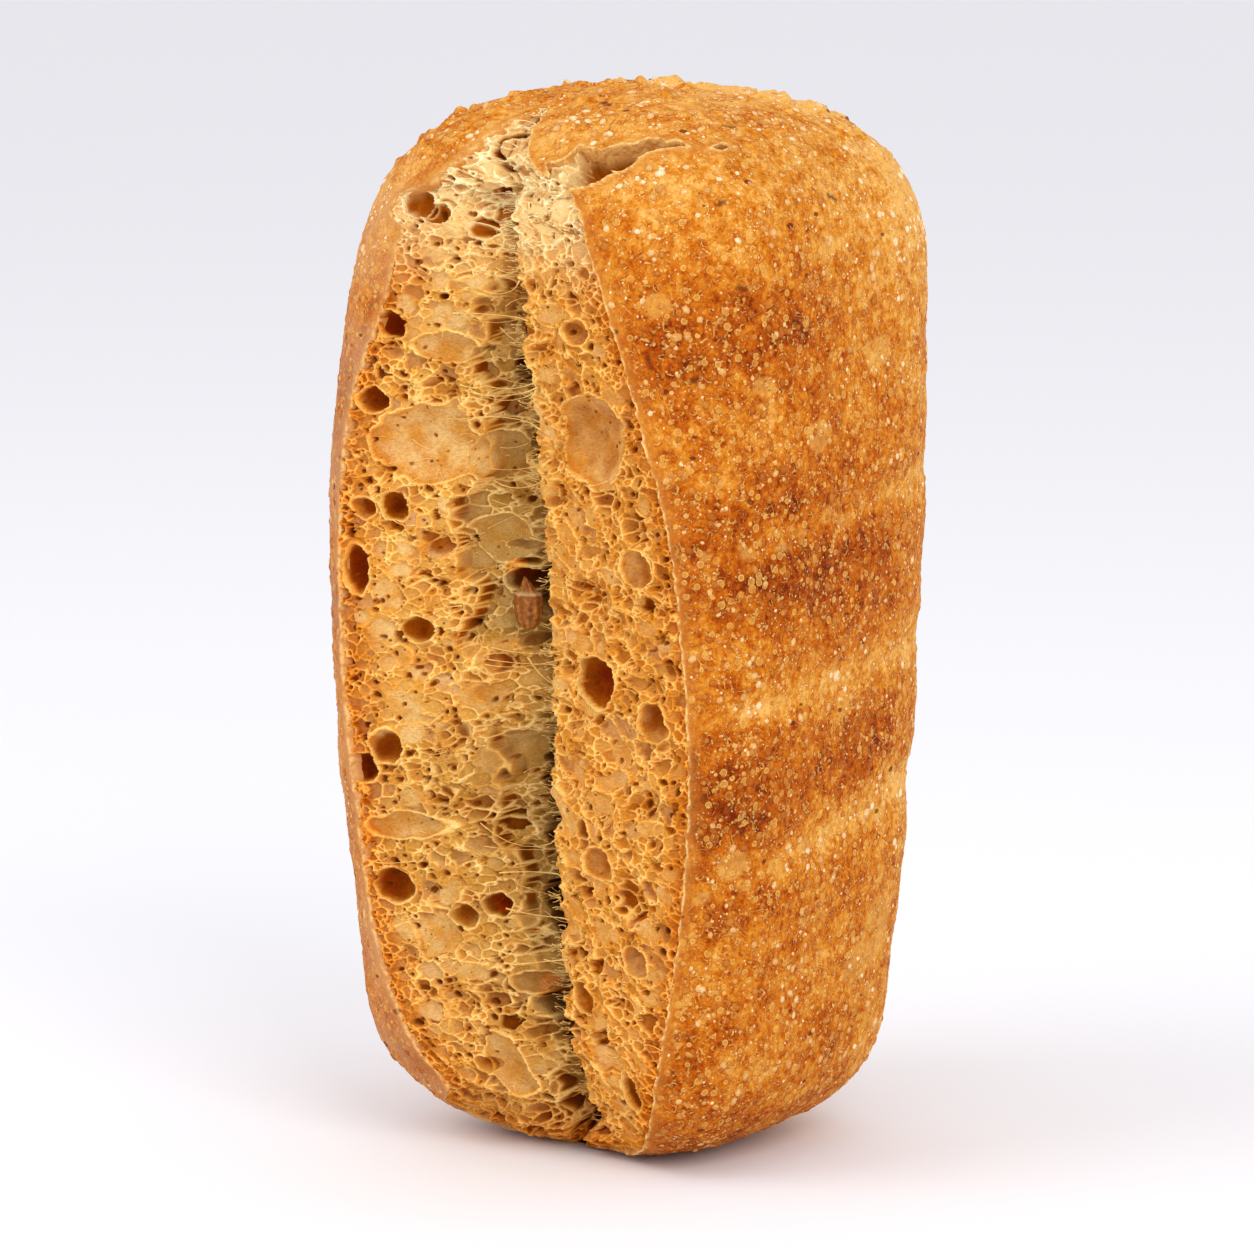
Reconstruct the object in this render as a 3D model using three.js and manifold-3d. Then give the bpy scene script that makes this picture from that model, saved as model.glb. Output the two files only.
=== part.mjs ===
// Spelt loaf standing on its end, burst open along one long side. One solid, in millimetres, +Z up.
// The burst faces -Y. Way along the skin runs from 0 at the middle of the foot to 1 at the crown's middle.
import * as THREE from "three";
import { mergeVertices } from "three/addons/utils/BufferGeometryUtils.js";
import Module from "manifold-3d";

const wasm = await Module();
wasm.setup();

// Overall form of the loaf
const LENGTH = 202;
const HALF_WIDTH = 51;
const HALF_DEPTH = 46.5;
const SQUARENESS = 3.6;
const BELLY_AT = 0.63;
const TAPER_TO_FOOT = { drop: 0.045, reach: 0.3 };
const TAPER_TO_CROWN = { drop: 0.05, reach: 0.37 };
const LEFT_SHOULDER = { cut: 0.16, from: 0.58, to: 0.98 };
const CROWN_LEAN = { x: 0.4, y: 2, from: 0.6, to: 1 };
const FRONT_FOOT = { cut: 0.13, upTo: 0.13, angle: -50, half: 60 };

// Rounded ends
const FOOT_HEIGHT = 26;
const FOOT_SQUARENESS = 2.75;
const FOOT_ENDS_AT = 0.2;
const CROWN_HEIGHT = 36;
const CROWN_SQUARENESS = 2.7;
const CROWN_STARTS_AT = 0.78;
const FLAT_SPOT = 0.8;

// Burst: way along the skin, left lip and right lip (degrees from the front), crack share, valley depth
const BURST = [
  [0.05, -20, 22, 0.72, 0.4],
  [0.075, -46, 36, 0.7, 0.9],
  [0.1, -50, 40.5, 0.685, 2.2],
  [0.12, -38, 41, 0.63, 4.2],
  [0.14, -28, 41, 0.573, 6.4],
  [0.185, -31, 42, 0.53, 9.5],
  [0.27, -38.8, 45, 0.487, 13],
  [0.37, -41, 47, 0.449, 15],
  [0.49, -42.6, 46, 0.47, 15.5],
  [0.61, -42, 42.5, 0.478, 14],
  [0.7, -38, 36.5, 0.497, 11.5],
  [0.77, -29.6, 30.5, 0.469, 9],
  [0.815, -27, 26, 0.462, 7.2],
  [0.85, -23, 21, 0.48, 5.5],
  [0.872, -19, 6, 0.5, 4],
  [0.9, -13, 0.5, 0.5, 2.2],
  [0.93, -8, -3, 0.5, 0.4],
];
const VALLEY_POWER = 1.35;
const VALLEY_OPEN = { from: 0.4, to: 4 };
const VALLEY_TURN_AT_ENDS = 1.2;
const CRACK = { depth: 12, halfShare: 0.1, from: 1, to: 12 };

// Gas cells on the burst: across from the crack, way along the skin, half width, half height, depth
const LARGE_CELLS = [
  [-19.6, 0.657, 10.5, 7, 4.5],
  [-7, 0.647, 5, 5.5, 4],
  [22.2, 0.673, 6, 9.5, 5],
  [17.1, 0.482, 4.4, 4.3, 7.5],
  [-23, 0.751, 2.8, 2.7, 4],
  [-28, 0.688, 2.5, 2.4, 3],
  [-32.9, 0.556, 2.5, 4.3, 4],
  [-30.9, 0.606, 2.2, 2.1, 2.5],
  [-24.8, 0.607, 3, 3, 4],
  [-32, 0.398, 3, 2.9, 4],
  [-22.1, 0.51, 3, 2.9, 3.5],
  [32.9, 0.458, 3.4, 4.3, 4],
  [31.3, 0.576, 3.4, 3.4, 3],
  [15.5, 0.338, 4, 3.4, 3.5],
  [11.1, 0.362, 2.5, 2, 3],
  [-10.5, 0.294, 2.5, 2.4, 4],
  [-28.1, 0.307, 3.4, 3.4, 3.5],
  [-15.9, 0.286, 2.5, 2.4, 3],
  [-5.6, 0.235, 3.9, 2, 5],
  [-16, 0.838, 3, 2.4, 3],
  [-12, 0.831, 2.5, 2, 3],
  [-5.3, 0.823, 2.5, 2, 3],
  [-12.4, 0.164, 4, 6.5, 3],
  [-16.6, 0.164, 2.1, 2, 2.5],
  [-8.1, 0.58, 5, 5, 2.5],
  [-1, 0.71, 3, 4, 5],
  [-4.7, 0.548, 4, 2.4, 6],
  [17.5, 0.752, 3, 2.4, 3],
  [-14, 0.733, 6, 2.9, 2.5],
  [23.9, 0.268, 3, 3, 3],
  [7.1, 0.23, 3, 3, 3],
  [-27.4, 0.417, 3.4, 3.4, 3],
  [-23.6, 0.355, 6.8, 2.9, 2.5],
];
const SCATTER = { count: 24, seed: 41, tries: 4000, half: [1.6, 2.8], gap: 1.5, leftShare: 0.55 };
const SCATTER_WAY = [0.16, 0.83];
const SCATTER_Q = [0.15, 0.9];
const SCATTER_STRETCH = [1.25, 0.85, 1.1];

// Tear along the crown's edge, right of the burst: angle, way, half length, half width, depth
const CROWN_TEAR = [
  [25, 0.861, 6, 2.6, 5],
  [34, 0.871, 6.5, 2.2, 4.5],
  [45, 0.88, 6, 1.5, 3],
  [55, 0.883, 5, 1, 2],
];

// Seed caught in the crack: across, way along the skin, half width, half height, half thickness
const SEED = [-2.4, 0.536, 2, 4.3, 1.9];

// Slanted shallow creases round the tin side: height at the front, rise per degree, depth, half width
const CREASES = [
  [113, 0.13, 0.9, 4],
  [84, 0.11, 0.8, 4],
  [50, 0.16, 0.9, 4.5],
];
const CREASED_ANGLES = [46, 60, 125, 150];

// Facets
const CRUST_COLUMNS = 38;
const FOOT_ROWS = 8;
const SIDE_ROWS = 25;
const CROWN_ROWS = 14;
const FACE_STEPS = [0.04, 0.1, 0.2, 0.32, 0.45, 0.58, 0.71, 0.84, 0.93, 1];
const CRUMB_RELIEF = 0.8;
const LIP_FROM_Q = 0.95;

const clamp = THREE.MathUtils.clamp;
const smoothstep = THREE.MathUtils.smoothstep;

/** Seeded random numbers from 0 to 1. */
function seededRandom(seed) {
  let state = seed >>> 0;
  return () => {
    state = (Math.imul(state, 1664525) + 1013904223) >>> 0;
    return state / 4294967296;
  };
}

/** Smooth value of one column of a table whose first column rises. */
function alongTable(table, at, column) {
  const last = table.length - 1;
  const x = clamp(at, table[0][0], table[last][0]);
  let i = 0;
  while (i < last - 1 && table[i + 1][0] < x) i += 1;
  const slope = (k) => {
    const a = Math.max(k - 1, 0);
    const b = Math.min(k + 1, last);
    return (table[b][column] - table[a][column]) / (table[b][0] - table[a][0]);
  };
  const span = table[i + 1][0] - table[i][0];
  const t = (x - table[i][0]) / span;
  const t2 = t * t;
  const t3 = t2 * t;
  const from = (2 * t3 - 3 * t2 + 1) * table[i][column] + (t3 - 2 * t2 + t) * span * slope(i);
  const to = (3 * t2 - 2 * t3) * table[i + 1][column] + (t3 - t2) * span * slope(i + 1);
  return from + to;
}

/** Ring scale and height at a way along the skin. */
function meridian(way) {
  const corner = (turn, power) => {
    const sin = Math.sin(turn);
    const cos = Math.cos(turn);
    const reach = (sin ** power + Math.abs(cos) ** power) ** (-1 / power);
    return [sin * reach, cos * reach];
  };
  let scale = 1;
  let height = 0;
  if (way < FOOT_ENDS_AT) {
    const [out, down] = corner((way / FOOT_ENDS_AT) * Math.PI / 2, FOOT_SQUARENESS);
    scale = out;
    height = FOOT_HEIGHT * (1 - down);
  } else if (way > CROWN_STARTS_AT) {
    const [out, up] = corner(((1 - way) / (1 - CROWN_STARTS_AT)) * Math.PI / 2, CROWN_SQUARENESS);
    scale = out;
    height = LENGTH - CROWN_HEIGHT * (1 - up);
  } else {
    const share = (way - FOOT_ENDS_AT) / (CROWN_STARTS_AT - FOOT_ENDS_AT);
    height = FOOT_HEIGHT + (LENGTH - FOOT_HEIGHT - CROWN_HEIGHT) * share;
  }
  return [scale, Math.max(0, (height - FLAT_SPOT) * LENGTH / (LENGTH - FLAT_SPOT))];
}

/** How full the side is at a height. */
function barrel(height) {
  const d = height / LENGTH - BELLY_AT;
  const taper = d < 0 ? TAPER_TO_FOOT : TAPER_TO_CROWN;
  return 1 - taper.drop * (d / taper.reach) ** 2;
}

/** How far the slanted creases sink the skin. */
function creaseSink(angle, height) {
  const [from, full, fade, end] = CREASED_ANGLES;
  const side = smoothstep(angle, from, full) * (1 - smoothstep(angle, fade, end));
  let sink = 0;
  for (const [front, rise, depth, half] of CREASES) {
    const off = (height - front - rise * angle) / half;
    sink += depth * Math.exp(-off * off);
  }
  return sink * side;
}

/** Share of the radius that the rounder front of the foot takes away. */
function footCut(angle, height) {
  const off = (((angle - FRONT_FOOT.angle + 540) % 360) - 180) / FRONT_FOOT.half;
  return FRONT_FOOT.cut * Math.exp(-off * off) * (1 - smoothstep(height / LENGTH, 0, FRONT_FOOT.upTo));
}

/** Point of the unbroken skin; the angle is in degrees from the front, growing to the right. */
function skin(angle, way) {
  const turn = THREE.MathUtils.degToRad(angle - 90);
  const cos = Math.cos(turn);
  const sin = Math.sin(turn);
  const [scale, height] = meridian(way);
  const full = barrel(height);
  const { cut, from, to } = LEFT_SHOULDER;
  const shoulder = cos < 0 ? 1 - cut * smoothstep(height / LENGTH, from, to) : 1;
  const across = Math.abs(cos) / (HALF_WIDTH * full * shoulder);
  const deep = Math.abs(sin) / (HALF_DEPTH * full);
  const reach = (across ** SQUARENESS + deep ** SQUARENESS) ** (-1 / SQUARENESS);
  const radius = (reach - creaseSink(angle, height)) * scale * (1 - footCut(angle, height));
  const lean = smoothstep(height / LENGTH, CROWN_LEAN.from, CROWN_LEAN.to);
  return new THREE.Vector3(radius * cos + CROWN_LEAN.x * lean, radius * sin + CROWN_LEAN.y * lean, height);
}

/** Lip angles, crack share and valley depth at a way along the skin. */
function burstAt(way) {
  const [left, right, share, depth] = [1, 2, 3, 4].map((column) => alongTable(BURST, way, column));
  const inside = way > BURST[0][0] && way < BURST[BURST.length - 1][0];
  const open = inside ? smoothstep(depth, VALLEY_OPEN.from, VALLEY_OPEN.to) : 0;
  return { left, right, share, depth: inside ? depth : 0, open };
}

/** Point of the burst face; q is -1 at the left lip, 0 at the crack and 1 at the right lip. */
function face(q, way, extraDepth = 0) {
  const b = burstAt(way);
  const share = q < 0 ? b.share * (1 + q) : b.share + (1 - b.share) * q;
  const flat = skin(b.left, way).lerp(skin(b.right, way), share);
  const point = skin(b.left + (b.right - b.left) * share, way).lerp(flat, b.open);
  const turn = VALLEY_TURN_AT_ENDS * (1 - meridian(way)[0]);
  const inward = new THREE.Vector3(0, 1, way < BELLY_AT ? turn : -turn).normalize();
  return point.addScaledVector(inward, b.depth * (1 - Math.abs(q)) ** VALLEY_POWER + extraDepth);
}

/** Added depth of the crack near q = 0. */
function crackDepth(q, way) {
  const b = burstAt(way);
  const near = Math.max(0, 1 - Math.abs(q) / CRACK.halfShare);
  return CRACK.depth * smoothstep(b.depth, CRACK.from, CRACK.to) * near;
}

/** Width of the burst between its lips. */
function burstWidth(way) {
  const b = burstAt(way);
  return skin(b.left, way).distanceTo(skin(b.right, way));
}

/** Turns millimetres across from the crack into q. */
function acrossToQ(across, way) {
  const b = burstAt(way);
  const half = burstWidth(way) * (across < 0 ? b.share : 1 - b.share);
  return clamp(across / half, -1, 1);
}

/** Frame that stands on the burst face: across, up and outwards. */
function faceFrame(q, way, extraDepth = 0) {
  const d = 0.01;
  const across = face(Math.min(q + d, 1), way).sub(face(Math.max(q - d, -1), way)).normalize();
  const up = face(q, way + d).sub(face(q, way - d));
  const out = new THREE.Vector3().crossVectors(across, up).normalize();
  up.crossVectors(out, across);
  return new THREE.Matrix4().makeBasis(across, up, out).setPosition(face(q, way, extraDepth));
}

/** Frame that stands on the skin: along the ring, up and outwards. */
function skinFrame(angle, way) {
  const along = skin(angle + 1, way).sub(skin(angle - 1, way)).normalize();
  const up = skin(angle, way + 0.005).sub(skin(angle, way - 0.005));
  const out = new THREE.Vector3().crossVectors(along, up).normalize();
  up.crossVectors(out, along);
  return new THREE.Matrix4().makeBasis(along, up, out).setPosition(skin(angle, way));
}

/** Closed solid from a geometry. */
function solid(geometry) {
  const plain = new THREE.BufferGeometry();
  plain.setAttribute("position", geometry.getAttribute("position").clone());
  if (geometry.index) plain.setIndex(geometry.index.clone());
  const merged = mergeVertices(plain, 1e-5);
  const vertProperties = new Float32Array(merged.getAttribute("position").array);
  const triVerts = new Uint32Array(merged.index.array);
  return new wasm.Manifold(new wasm.Mesh({ numProp: 3, vertProperties, triVerts }));
}

/** Ball stretched to half sizes and set in a frame. */
function ball(frame, halfAcross, halfUp, halfOut) {
  const geometry = new THREE.IcosahedronGeometry(1, 1);
  geometry.scale(halfAcross, halfUp, halfOut);
  geometry.applyMatrix4(frame);
  return solid(geometry);
}

/** Ways along the skin of all rows, from the edge of the flat spot to just under the crown's middle. */
function rowWays() {
  let edge = 0.001;
  while (meridian(edge)[1] <= 0) edge += 0.0005;
  const ways = [edge - 0.0005];
  for (let i = 1; i <= FOOT_ROWS; i += 1) ways.push(edge + (FOOT_ENDS_AT - edge) * (i / FOOT_ROWS));
  const side = CROWN_STARTS_AT - FOOT_ENDS_AT;
  for (let i = 1; i <= SIDE_ROWS; i += 1) ways.push(FOOT_ENDS_AT + side * (i / SIDE_ROWS));
  const crownRun = 1 - CROWN_STARTS_AT;
  for (let i = 1; i < CROWN_ROWS; i += 1) ways.push(CROWN_STARTS_AT + crownRun * (i / CROWN_ROWS));
  return ways;
}

/** One closed ring of points: crust from the right lip round the back, then the burst face. */
function ring(way, random) {
  const b = burstAt(way);
  const points = [];
  for (let i = 0; i < CRUST_COLUMNS; i += 1) {
    points.push(skin(b.right + (360 + b.left - b.right) * (i / CRUST_COLUMNS), way));
  }
  const steps = [...FACE_STEPS].reverse().map((q) => -q).concat([0], FACE_STEPS.slice(0, -1));
  for (const q of steps) {
    const rough = Math.abs(q) < LIP_FROM_Q ? CRUMB_RELIEF * (2 * random() - 1) * b.open : 0;
    points.push(face(q, way, crackDepth(q, way) + rough));
  }
  return points;
}

/** The loaf before its gas cells are cut. */
function uncutLoaf() {
  const random = seededRandom(SCATTER.seed + 1);
  const rings = rowWays().map((way) => ring(way, random));
  const count = rings[0].length;
  const positions = [];
  for (const points of rings) {
    for (const p of points) positions.push(p.x, p.y, p.z);
  }
  const foot = rings.length * count;
  const crown = foot + 1;
  const top = skin(0, 1);
  positions.push(0, 0, 0, top.x, top.y, top.z);
  const index = [];
  const highest = (rings.length - 1) * count;
  for (let j = 0; j < count; j += 1) {
    const next = (j + 1) % count;
    index.push(foot, next, j);
    index.push(crown, highest + j, highest + next);
    for (let i = 0; i + 1 < rings.length; i += 1) {
      const a = i * count + j;
      const b = i * count + next;
      const c = a + count;
      const d = b + count;
      index.push(a, b, d, a, d, c);
    }
  }
  const geometry = new THREE.BufferGeometry();
  geometry.setAttribute("position", new THREE.Float32BufferAttribute(positions, 3));
  geometry.setIndex(index);
  return solid(geometry);
}

/** Gas cells of the burst, the large ones placed and the rest scattered by rule. */
function gasCells() {
  const cells = LARGE_CELLS.map(([across, way, halfAcross, halfUp, depth]) => {
    return ball(faceFrame(acrossToQ(across, way), way), halfAcross, halfUp, depth);
  });
  const random = seededRandom(SCATTER.seed);
  const between = ([low, high], share) => low + (high - low) * share;
  const taken = LARGE_CELLS.map(([across, way, half]) => [across, way * LENGTH, half]);
  const wanted = LARGE_CELLS.length + SCATTER.count;
  for (let tries = 0; tries < SCATTER.tries && cells.length < wanted; tries += 1) {
    const way = between(SCATTER_WAY, random());
    const q = (random() < SCATTER.leftShare ? -1 : 1) * between(SCATTER_Q, random());
    const half = between(SCATTER.half, random() ** 2);
    const b = burstAt(way);
    const across = q * burstWidth(way) * (q < 0 ? b.share : 1 - b.share);
    const away = ([x, y, r]) => Math.hypot(across - x, way * LENGTH - y) > r + half + SCATTER.gap;
    if (taken.every(away)) {
      taken.push([across, way * LENGTH, half]);
      cells.push(ball(faceFrame(q, way), ...SCATTER_STRETCH.map((stretch) => stretch * half)));
    }
  }
  return cells;
}

/** Tear in the crown's edge. */
function crownTear() {
  return CROWN_TEAR.map(([angle, way, halfLength, halfWidth, depth]) => {
    return ball(skinFrame(angle, way), halfLength, halfWidth, depth);
  });
}

/** Seed held in the wall of the crack. */
function seed() {
  const [across, way, halfAcross, halfUp, halfOut] = SEED;
  const q = acrossToQ(across, way);
  return ball(faceFrame(q, way, crackDepth(q, way)), halfAcross, halfUp, halfOut);
}

/** Largest separate body of a solid, so that no loose scrap stays. */
function largestBody(whole) {
  return whole.decompose().reduce((best, body) => (body.volume() > best.volume() ? body : best));
}

/** Mesh of a solid, moved so that its box stands over the origin. */
function meshOf(whole, name, material) {
  const cut = whole.getMesh();
  const geometry = new THREE.BufferGeometry();
  geometry.setAttribute("position", new THREE.Float32BufferAttribute(cut.vertProperties, cut.numProp));
  geometry.setIndex(Array.from(cut.triVerts));
  geometry.computeBoundingBox();
  const centre = geometry.boundingBox.getCenter(new THREE.Vector3());
  geometry.translate(-centre.x, -centre.y, -geometry.boundingBox.min.z);
  geometry.computeVertexNormals();
  const mesh = new THREE.Mesh(geometry, material);
  mesh.name = name;
  return mesh;
}

const cuts = [...gasCells(), ...crownTear()].reduce((sum, cell) => sum.add(cell));
const loafSolid = largestBody(uncutLoaf().subtract(cuts).add(seed()));
const bakedBread = new THREE.MeshStandardMaterial({ color: "#c98843", roughness: 0.82, metalness: 0 });

const group = new THREE.Group();
group.add(meshOf(loafSolid, "loaf", bakedBread));
export default group;
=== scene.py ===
"""Spelt loaf on its end: crust, burst crumb, blisters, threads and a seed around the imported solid."""

import logging
import math
from dataclasses import dataclass, field
from enum import Enum
from typing import Any

import bpy
import numpy as np
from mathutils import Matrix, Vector


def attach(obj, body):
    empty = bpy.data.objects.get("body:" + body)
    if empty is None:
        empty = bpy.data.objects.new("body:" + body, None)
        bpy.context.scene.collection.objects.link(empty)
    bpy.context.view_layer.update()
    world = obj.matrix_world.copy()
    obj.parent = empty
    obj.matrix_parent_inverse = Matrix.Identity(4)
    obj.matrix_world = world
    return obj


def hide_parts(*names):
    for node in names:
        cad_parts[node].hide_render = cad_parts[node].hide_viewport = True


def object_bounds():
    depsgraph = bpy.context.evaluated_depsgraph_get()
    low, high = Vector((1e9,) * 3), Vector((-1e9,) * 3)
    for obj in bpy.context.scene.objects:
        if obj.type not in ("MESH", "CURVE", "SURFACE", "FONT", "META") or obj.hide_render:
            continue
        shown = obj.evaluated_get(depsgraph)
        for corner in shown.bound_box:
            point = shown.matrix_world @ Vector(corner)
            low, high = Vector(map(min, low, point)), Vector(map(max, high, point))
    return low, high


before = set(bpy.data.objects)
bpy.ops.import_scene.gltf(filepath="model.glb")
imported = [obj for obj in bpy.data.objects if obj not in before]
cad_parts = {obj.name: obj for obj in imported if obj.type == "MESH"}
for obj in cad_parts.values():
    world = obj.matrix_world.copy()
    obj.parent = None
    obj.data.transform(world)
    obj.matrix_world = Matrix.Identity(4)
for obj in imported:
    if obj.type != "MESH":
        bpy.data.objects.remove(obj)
CAD_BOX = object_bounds()
NODE = "loaf"
BODY = "root"
MM = 0.001
UV_MARGIN = 0.02
log = logging.getLogger("loaf")

Array = np.ndarray
Material = bpy.types.Material
Mesh = bpy.types.Mesh
Piece = bpy.types.Object
Socket = bpy.types.NodeSocket
Pair = tuple[float, float]
Three = tuple[float, float, float]
Table = tuple[tuple[float, ...], ...]
Stops = tuple[tuple[float, str], ...]
Values = dict[str, Array]


def linear(hex_colour: str) -> tuple[float, float, float, float]:
    """Turn an sRGB hex colour into the linear colour that a socket takes.

    Args:
        hex_colour: colour such as "#c98843".

    Returns:
        Linear red, green, blue and an alpha of 1.
    """
    parts = [int(hex_colour[i:i + 2], 16) / 255 for i in (1, 3, 5)]
    flat = [c / 12.92 if c <= 0.04045 else ((c + 0.055) / 1.055) ** 2.4 for c in parts]
    return (flat[0], flat[1], flat[2], 1.0)


def ease(low: float, high: float, x: Array) -> Array:
    """Smooth rise from 0 at low to 1 at high."""
    t = np.clip((x - low) / (high - low), 0.0, 1.0)
    return t * t * (3.0 - 2.0 * t)


def bell(x: Array, width: float | Array) -> Array:
    """Bell curve, 1 at 0."""
    return np.exp(-((x / width) ** 2))


def unit(v: Array) -> Array:
    """Vectors scaled to length 1."""
    return v / np.maximum(np.linalg.norm(v, axis=-1, keepdims=True), 1e-9)


def run_along(line: Array) -> Array:
    """Way run from a line's start to each of its points."""
    return np.concatenate([[0], np.cumsum(np.linalg.norm(np.diff(line, axis=0), axis=1))])


def corner_grids(grid: Array) -> tuple[Array, Array, Array, Array]:
    """Values at the four corners of each square of a grid, in turn round it."""
    return grid[:-1, :-1], grid[:-1, 1:], grid[1:, 1:], grid[1:, :-1]


def whole_faces(faces: Array) -> Array:
    """True for each triangle with three different corners."""
    a, b, c = faces.T
    return (a != b) & (b != c) & (a != c)


class Lattice:
    """Smooth seeded noise in space, from -1 to 1, on a table that wraps."""

    SIDE = 48
    LAYER_SHIFT = 17.3

    def __init__(self, seed: int) -> None:
        """Draw the table from a seed."""
        self.table = np.random.default_rng(seed).uniform(-1, 1, (self.SIDE,) * 3).astype(np.float32)

    def at(self, points: Array, size: float) -> Array:
        """Noise at points.

        Args:
            points: places in millimetres, last axis of length 3.
            size: width of one bump in millimetres.

        Returns:
            One value for each point.
        """
        p = np.asarray(points, dtype=np.float64) / size
        cell = np.floor(p).astype(np.int64)
        t = p - cell
        t = t * t * (3 - 2 * t)
        value = np.zeros(p.shape[:-1])
        for corner in np.ndindex(2, 2, 2):
            i, j, k = ((cell[..., n] + corner[n]) % self.SIDE for n in range(3))
            weight = np.ones(p.shape[:-1])
            for n in range(3):
                weight = weight * (t[..., n] if corner[n] else 1 - t[..., n])
            value += weight * self.table[i, j, k]
        return value

    def bumps(self, points: Array, size: Pair, count: int) -> Array:
        """Layered noise of a width and a height in millimetres."""
        return size[1] * self.layers(points, size[0], count)

    def layers(self, points: Array, size: float, count: int) -> Array:
        """Noise of halving sizes, each half as strong as the one before."""
        shift = self.LAYER_SHIFT
        return sum(self.at(points + shift * n, size / 2 ** n) / 2 ** n for n in range(count))


@dataclass
class LoafForm:
    """The loaf's form, from the same sizes as the solid. Millimetres; angles in degrees from the front."""

    length: float = 202.0
    half_width: float = 51.0
    half_depth: float = 46.5
    squareness: float = 3.6
    belly_at: float = 0.63
    taper_to_foot: Pair = (0.045, 0.3)
    taper_to_crown: Pair = (0.05, 0.37)
    left_shoulder: Three = (0.16, 0.58, 0.98)
    crown_lean: Pair = (0.4, 2.0)
    # Rounder front of the foot: cut, height share it ends at, middle angle and half angle
    front_foot: tuple[float, float, float, float] = (0.13, 0.13, -50.0, 60.0)
    lean_over: Pair = (0.6, 1.0)
    foot_height: float = 26.0
    foot_squareness: float = 2.75
    foot_ends_at: float = 0.2
    crown_height: float = 36.0
    crown_squareness: float = 2.7
    crown_starts_at: float = 0.78
    flat_spot: float = 0.8
    valley_power: float = 1.35
    valley_turn_at_ends: float = 1.2
    # Way along the skin, left lip, right lip, crack share, valley depth
    burst: Table = (
        (0.05, -20, 22, 0.72, 0.4), (0.075, -46, 36, 0.7, 0.9), (0.1, -50, 40.5, 0.685, 2.2),
        (0.12, -38, 41, 0.63, 4.2), (0.14, -28, 41, 0.573, 6.4), (0.185, -31, 42, 0.53, 9.5),
        (0.27, -38.8, 45, 0.487, 13), (0.37, -41, 47, 0.449, 15), (0.49, -42.6, 46, 0.47, 15.5),
        (0.61, -42, 42.5, 0.478, 14), (0.7, -38, 36.5, 0.497, 11.5), (0.77, -29.6, 30.5, 0.469, 9),
        (0.815, -27, 26, 0.462, 7.2), (0.85, -23, 21, 0.48, 5.5), (0.872, -19, 6, 0.5, 4),
        (0.9, -13, 0.5, 0.5, 2.2), (0.93, -8, -3, 0.5, 0.4),
    )
    # Height at the front, rise per degree, depth, half width
    creases: Table = (
        (113, 0.13, 0.9, 4), (84, 0.11, 0.8, 4), (50, 0.16, 0.9, 4.5),
    )
    # Angles over which the creases begin and end
    creases_begin: Pair = (46, 60)
    creases_end: Pair = (125, 150)
    lips_close_over: float = 0.02
    # Valley depths over which the face turns from the skin's arc to a flat tear
    opens_over: Pair = (0.4, 4.0)
    # Notch in the left lip below the crown: way, half length, degrees
    notch: Three = (0.838, 0.0125, 8.0)
    offset: Array = field(default_factory=lambda: np.zeros(3))

    def __post_init__(self) -> None:
        """Shift the form so that its right and back sides meet the solid's box."""
        angle, way = np.meshgrid(np.linspace(0, 360, 361), np.linspace(0, 1, 201))
        skin = self.skin(angle, way).reshape(-1, 3)
        high = np.array(CAD_BOX[1]) / MM
        self.offset = np.array([high[0] - skin[:, 0].max(), high[1] - skin[:, 1].max(), 0.0])

    def along(self, way: Array, column: int) -> Array:
        """Smooth value of one column of the burst table.

        Args:
            way: ways along the skin.
            column: column of the table.

        Returns:
            The value at each way.
        """
        x = np.array([row[0] for row in self.burst], dtype=float)
        y = np.array([row[column] for row in self.burst], dtype=float)
        slope = np.empty_like(y)
        slope[1:-1] = (y[2:] - y[:-2]) / (x[2:] - x[:-2])
        slope[0] = (y[1] - y[0]) / (x[1] - x[0])
        slope[-1] = (y[-1] - y[-2]) / (x[-1] - x[-2])
        at = np.clip(way, x[0], x[-1])
        i = np.clip(np.searchsorted(x, at) - 1, 0, len(x) - 2)
        span = x[i + 1] - x[i]
        t = (at - x[i]) / span
        start = (2 * t ** 3 - 3 * t ** 2 + 1) * y[i] + (t ** 3 - 2 * t ** 2 + t) * span * slope[i]
        end = (3 * t ** 2 - 2 * t ** 3) * y[i + 1] + (t ** 3 - t ** 2) * span * slope[i + 1]
        return start + end

    def meridian(self, way: Array) -> tuple[Array, Array]:
        """Ring scale and height at each way along the skin.

        Args:
            way: ways along the skin.

        Returns:
            Scales and heights.
        """
        foot = np.clip(way / self.foot_ends_at, 0, 1) * math.pi / 2
        crown = np.clip((1 - way) / (1 - self.crown_starts_at), 0, 1) * math.pi / 2

        def corner(turn: Array, power: float) -> tuple[Array, Array]:
            """Round the end's edge."""
            reach = (np.abs(np.sin(turn)) ** power + np.abs(np.cos(turn)) ** power) ** (-1 / power)
            return np.sin(turn) * reach, np.cos(turn) * reach

        foot_out, foot_down = corner(foot, self.foot_squareness)
        crown_out, crown_up = corner(crown, self.crown_squareness)
        share = (way - self.foot_ends_at) / (self.crown_starts_at - self.foot_ends_at)
        height = self.foot_height + (self.length - self.foot_height - self.crown_height) * share
        low = way < self.foot_ends_at
        high = way > self.crown_starts_at
        height = np.where(low, self.foot_height * (1 - foot_down), height)
        height = np.where(high, self.length - self.crown_height * (1 - crown_up), height)
        scale = np.where(low, foot_out, np.where(high, crown_out, 1.0))
        lifted = (height - self.flat_spot) * self.length / (self.length - self.flat_spot)
        return scale, np.maximum(0.0, lifted)

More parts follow.
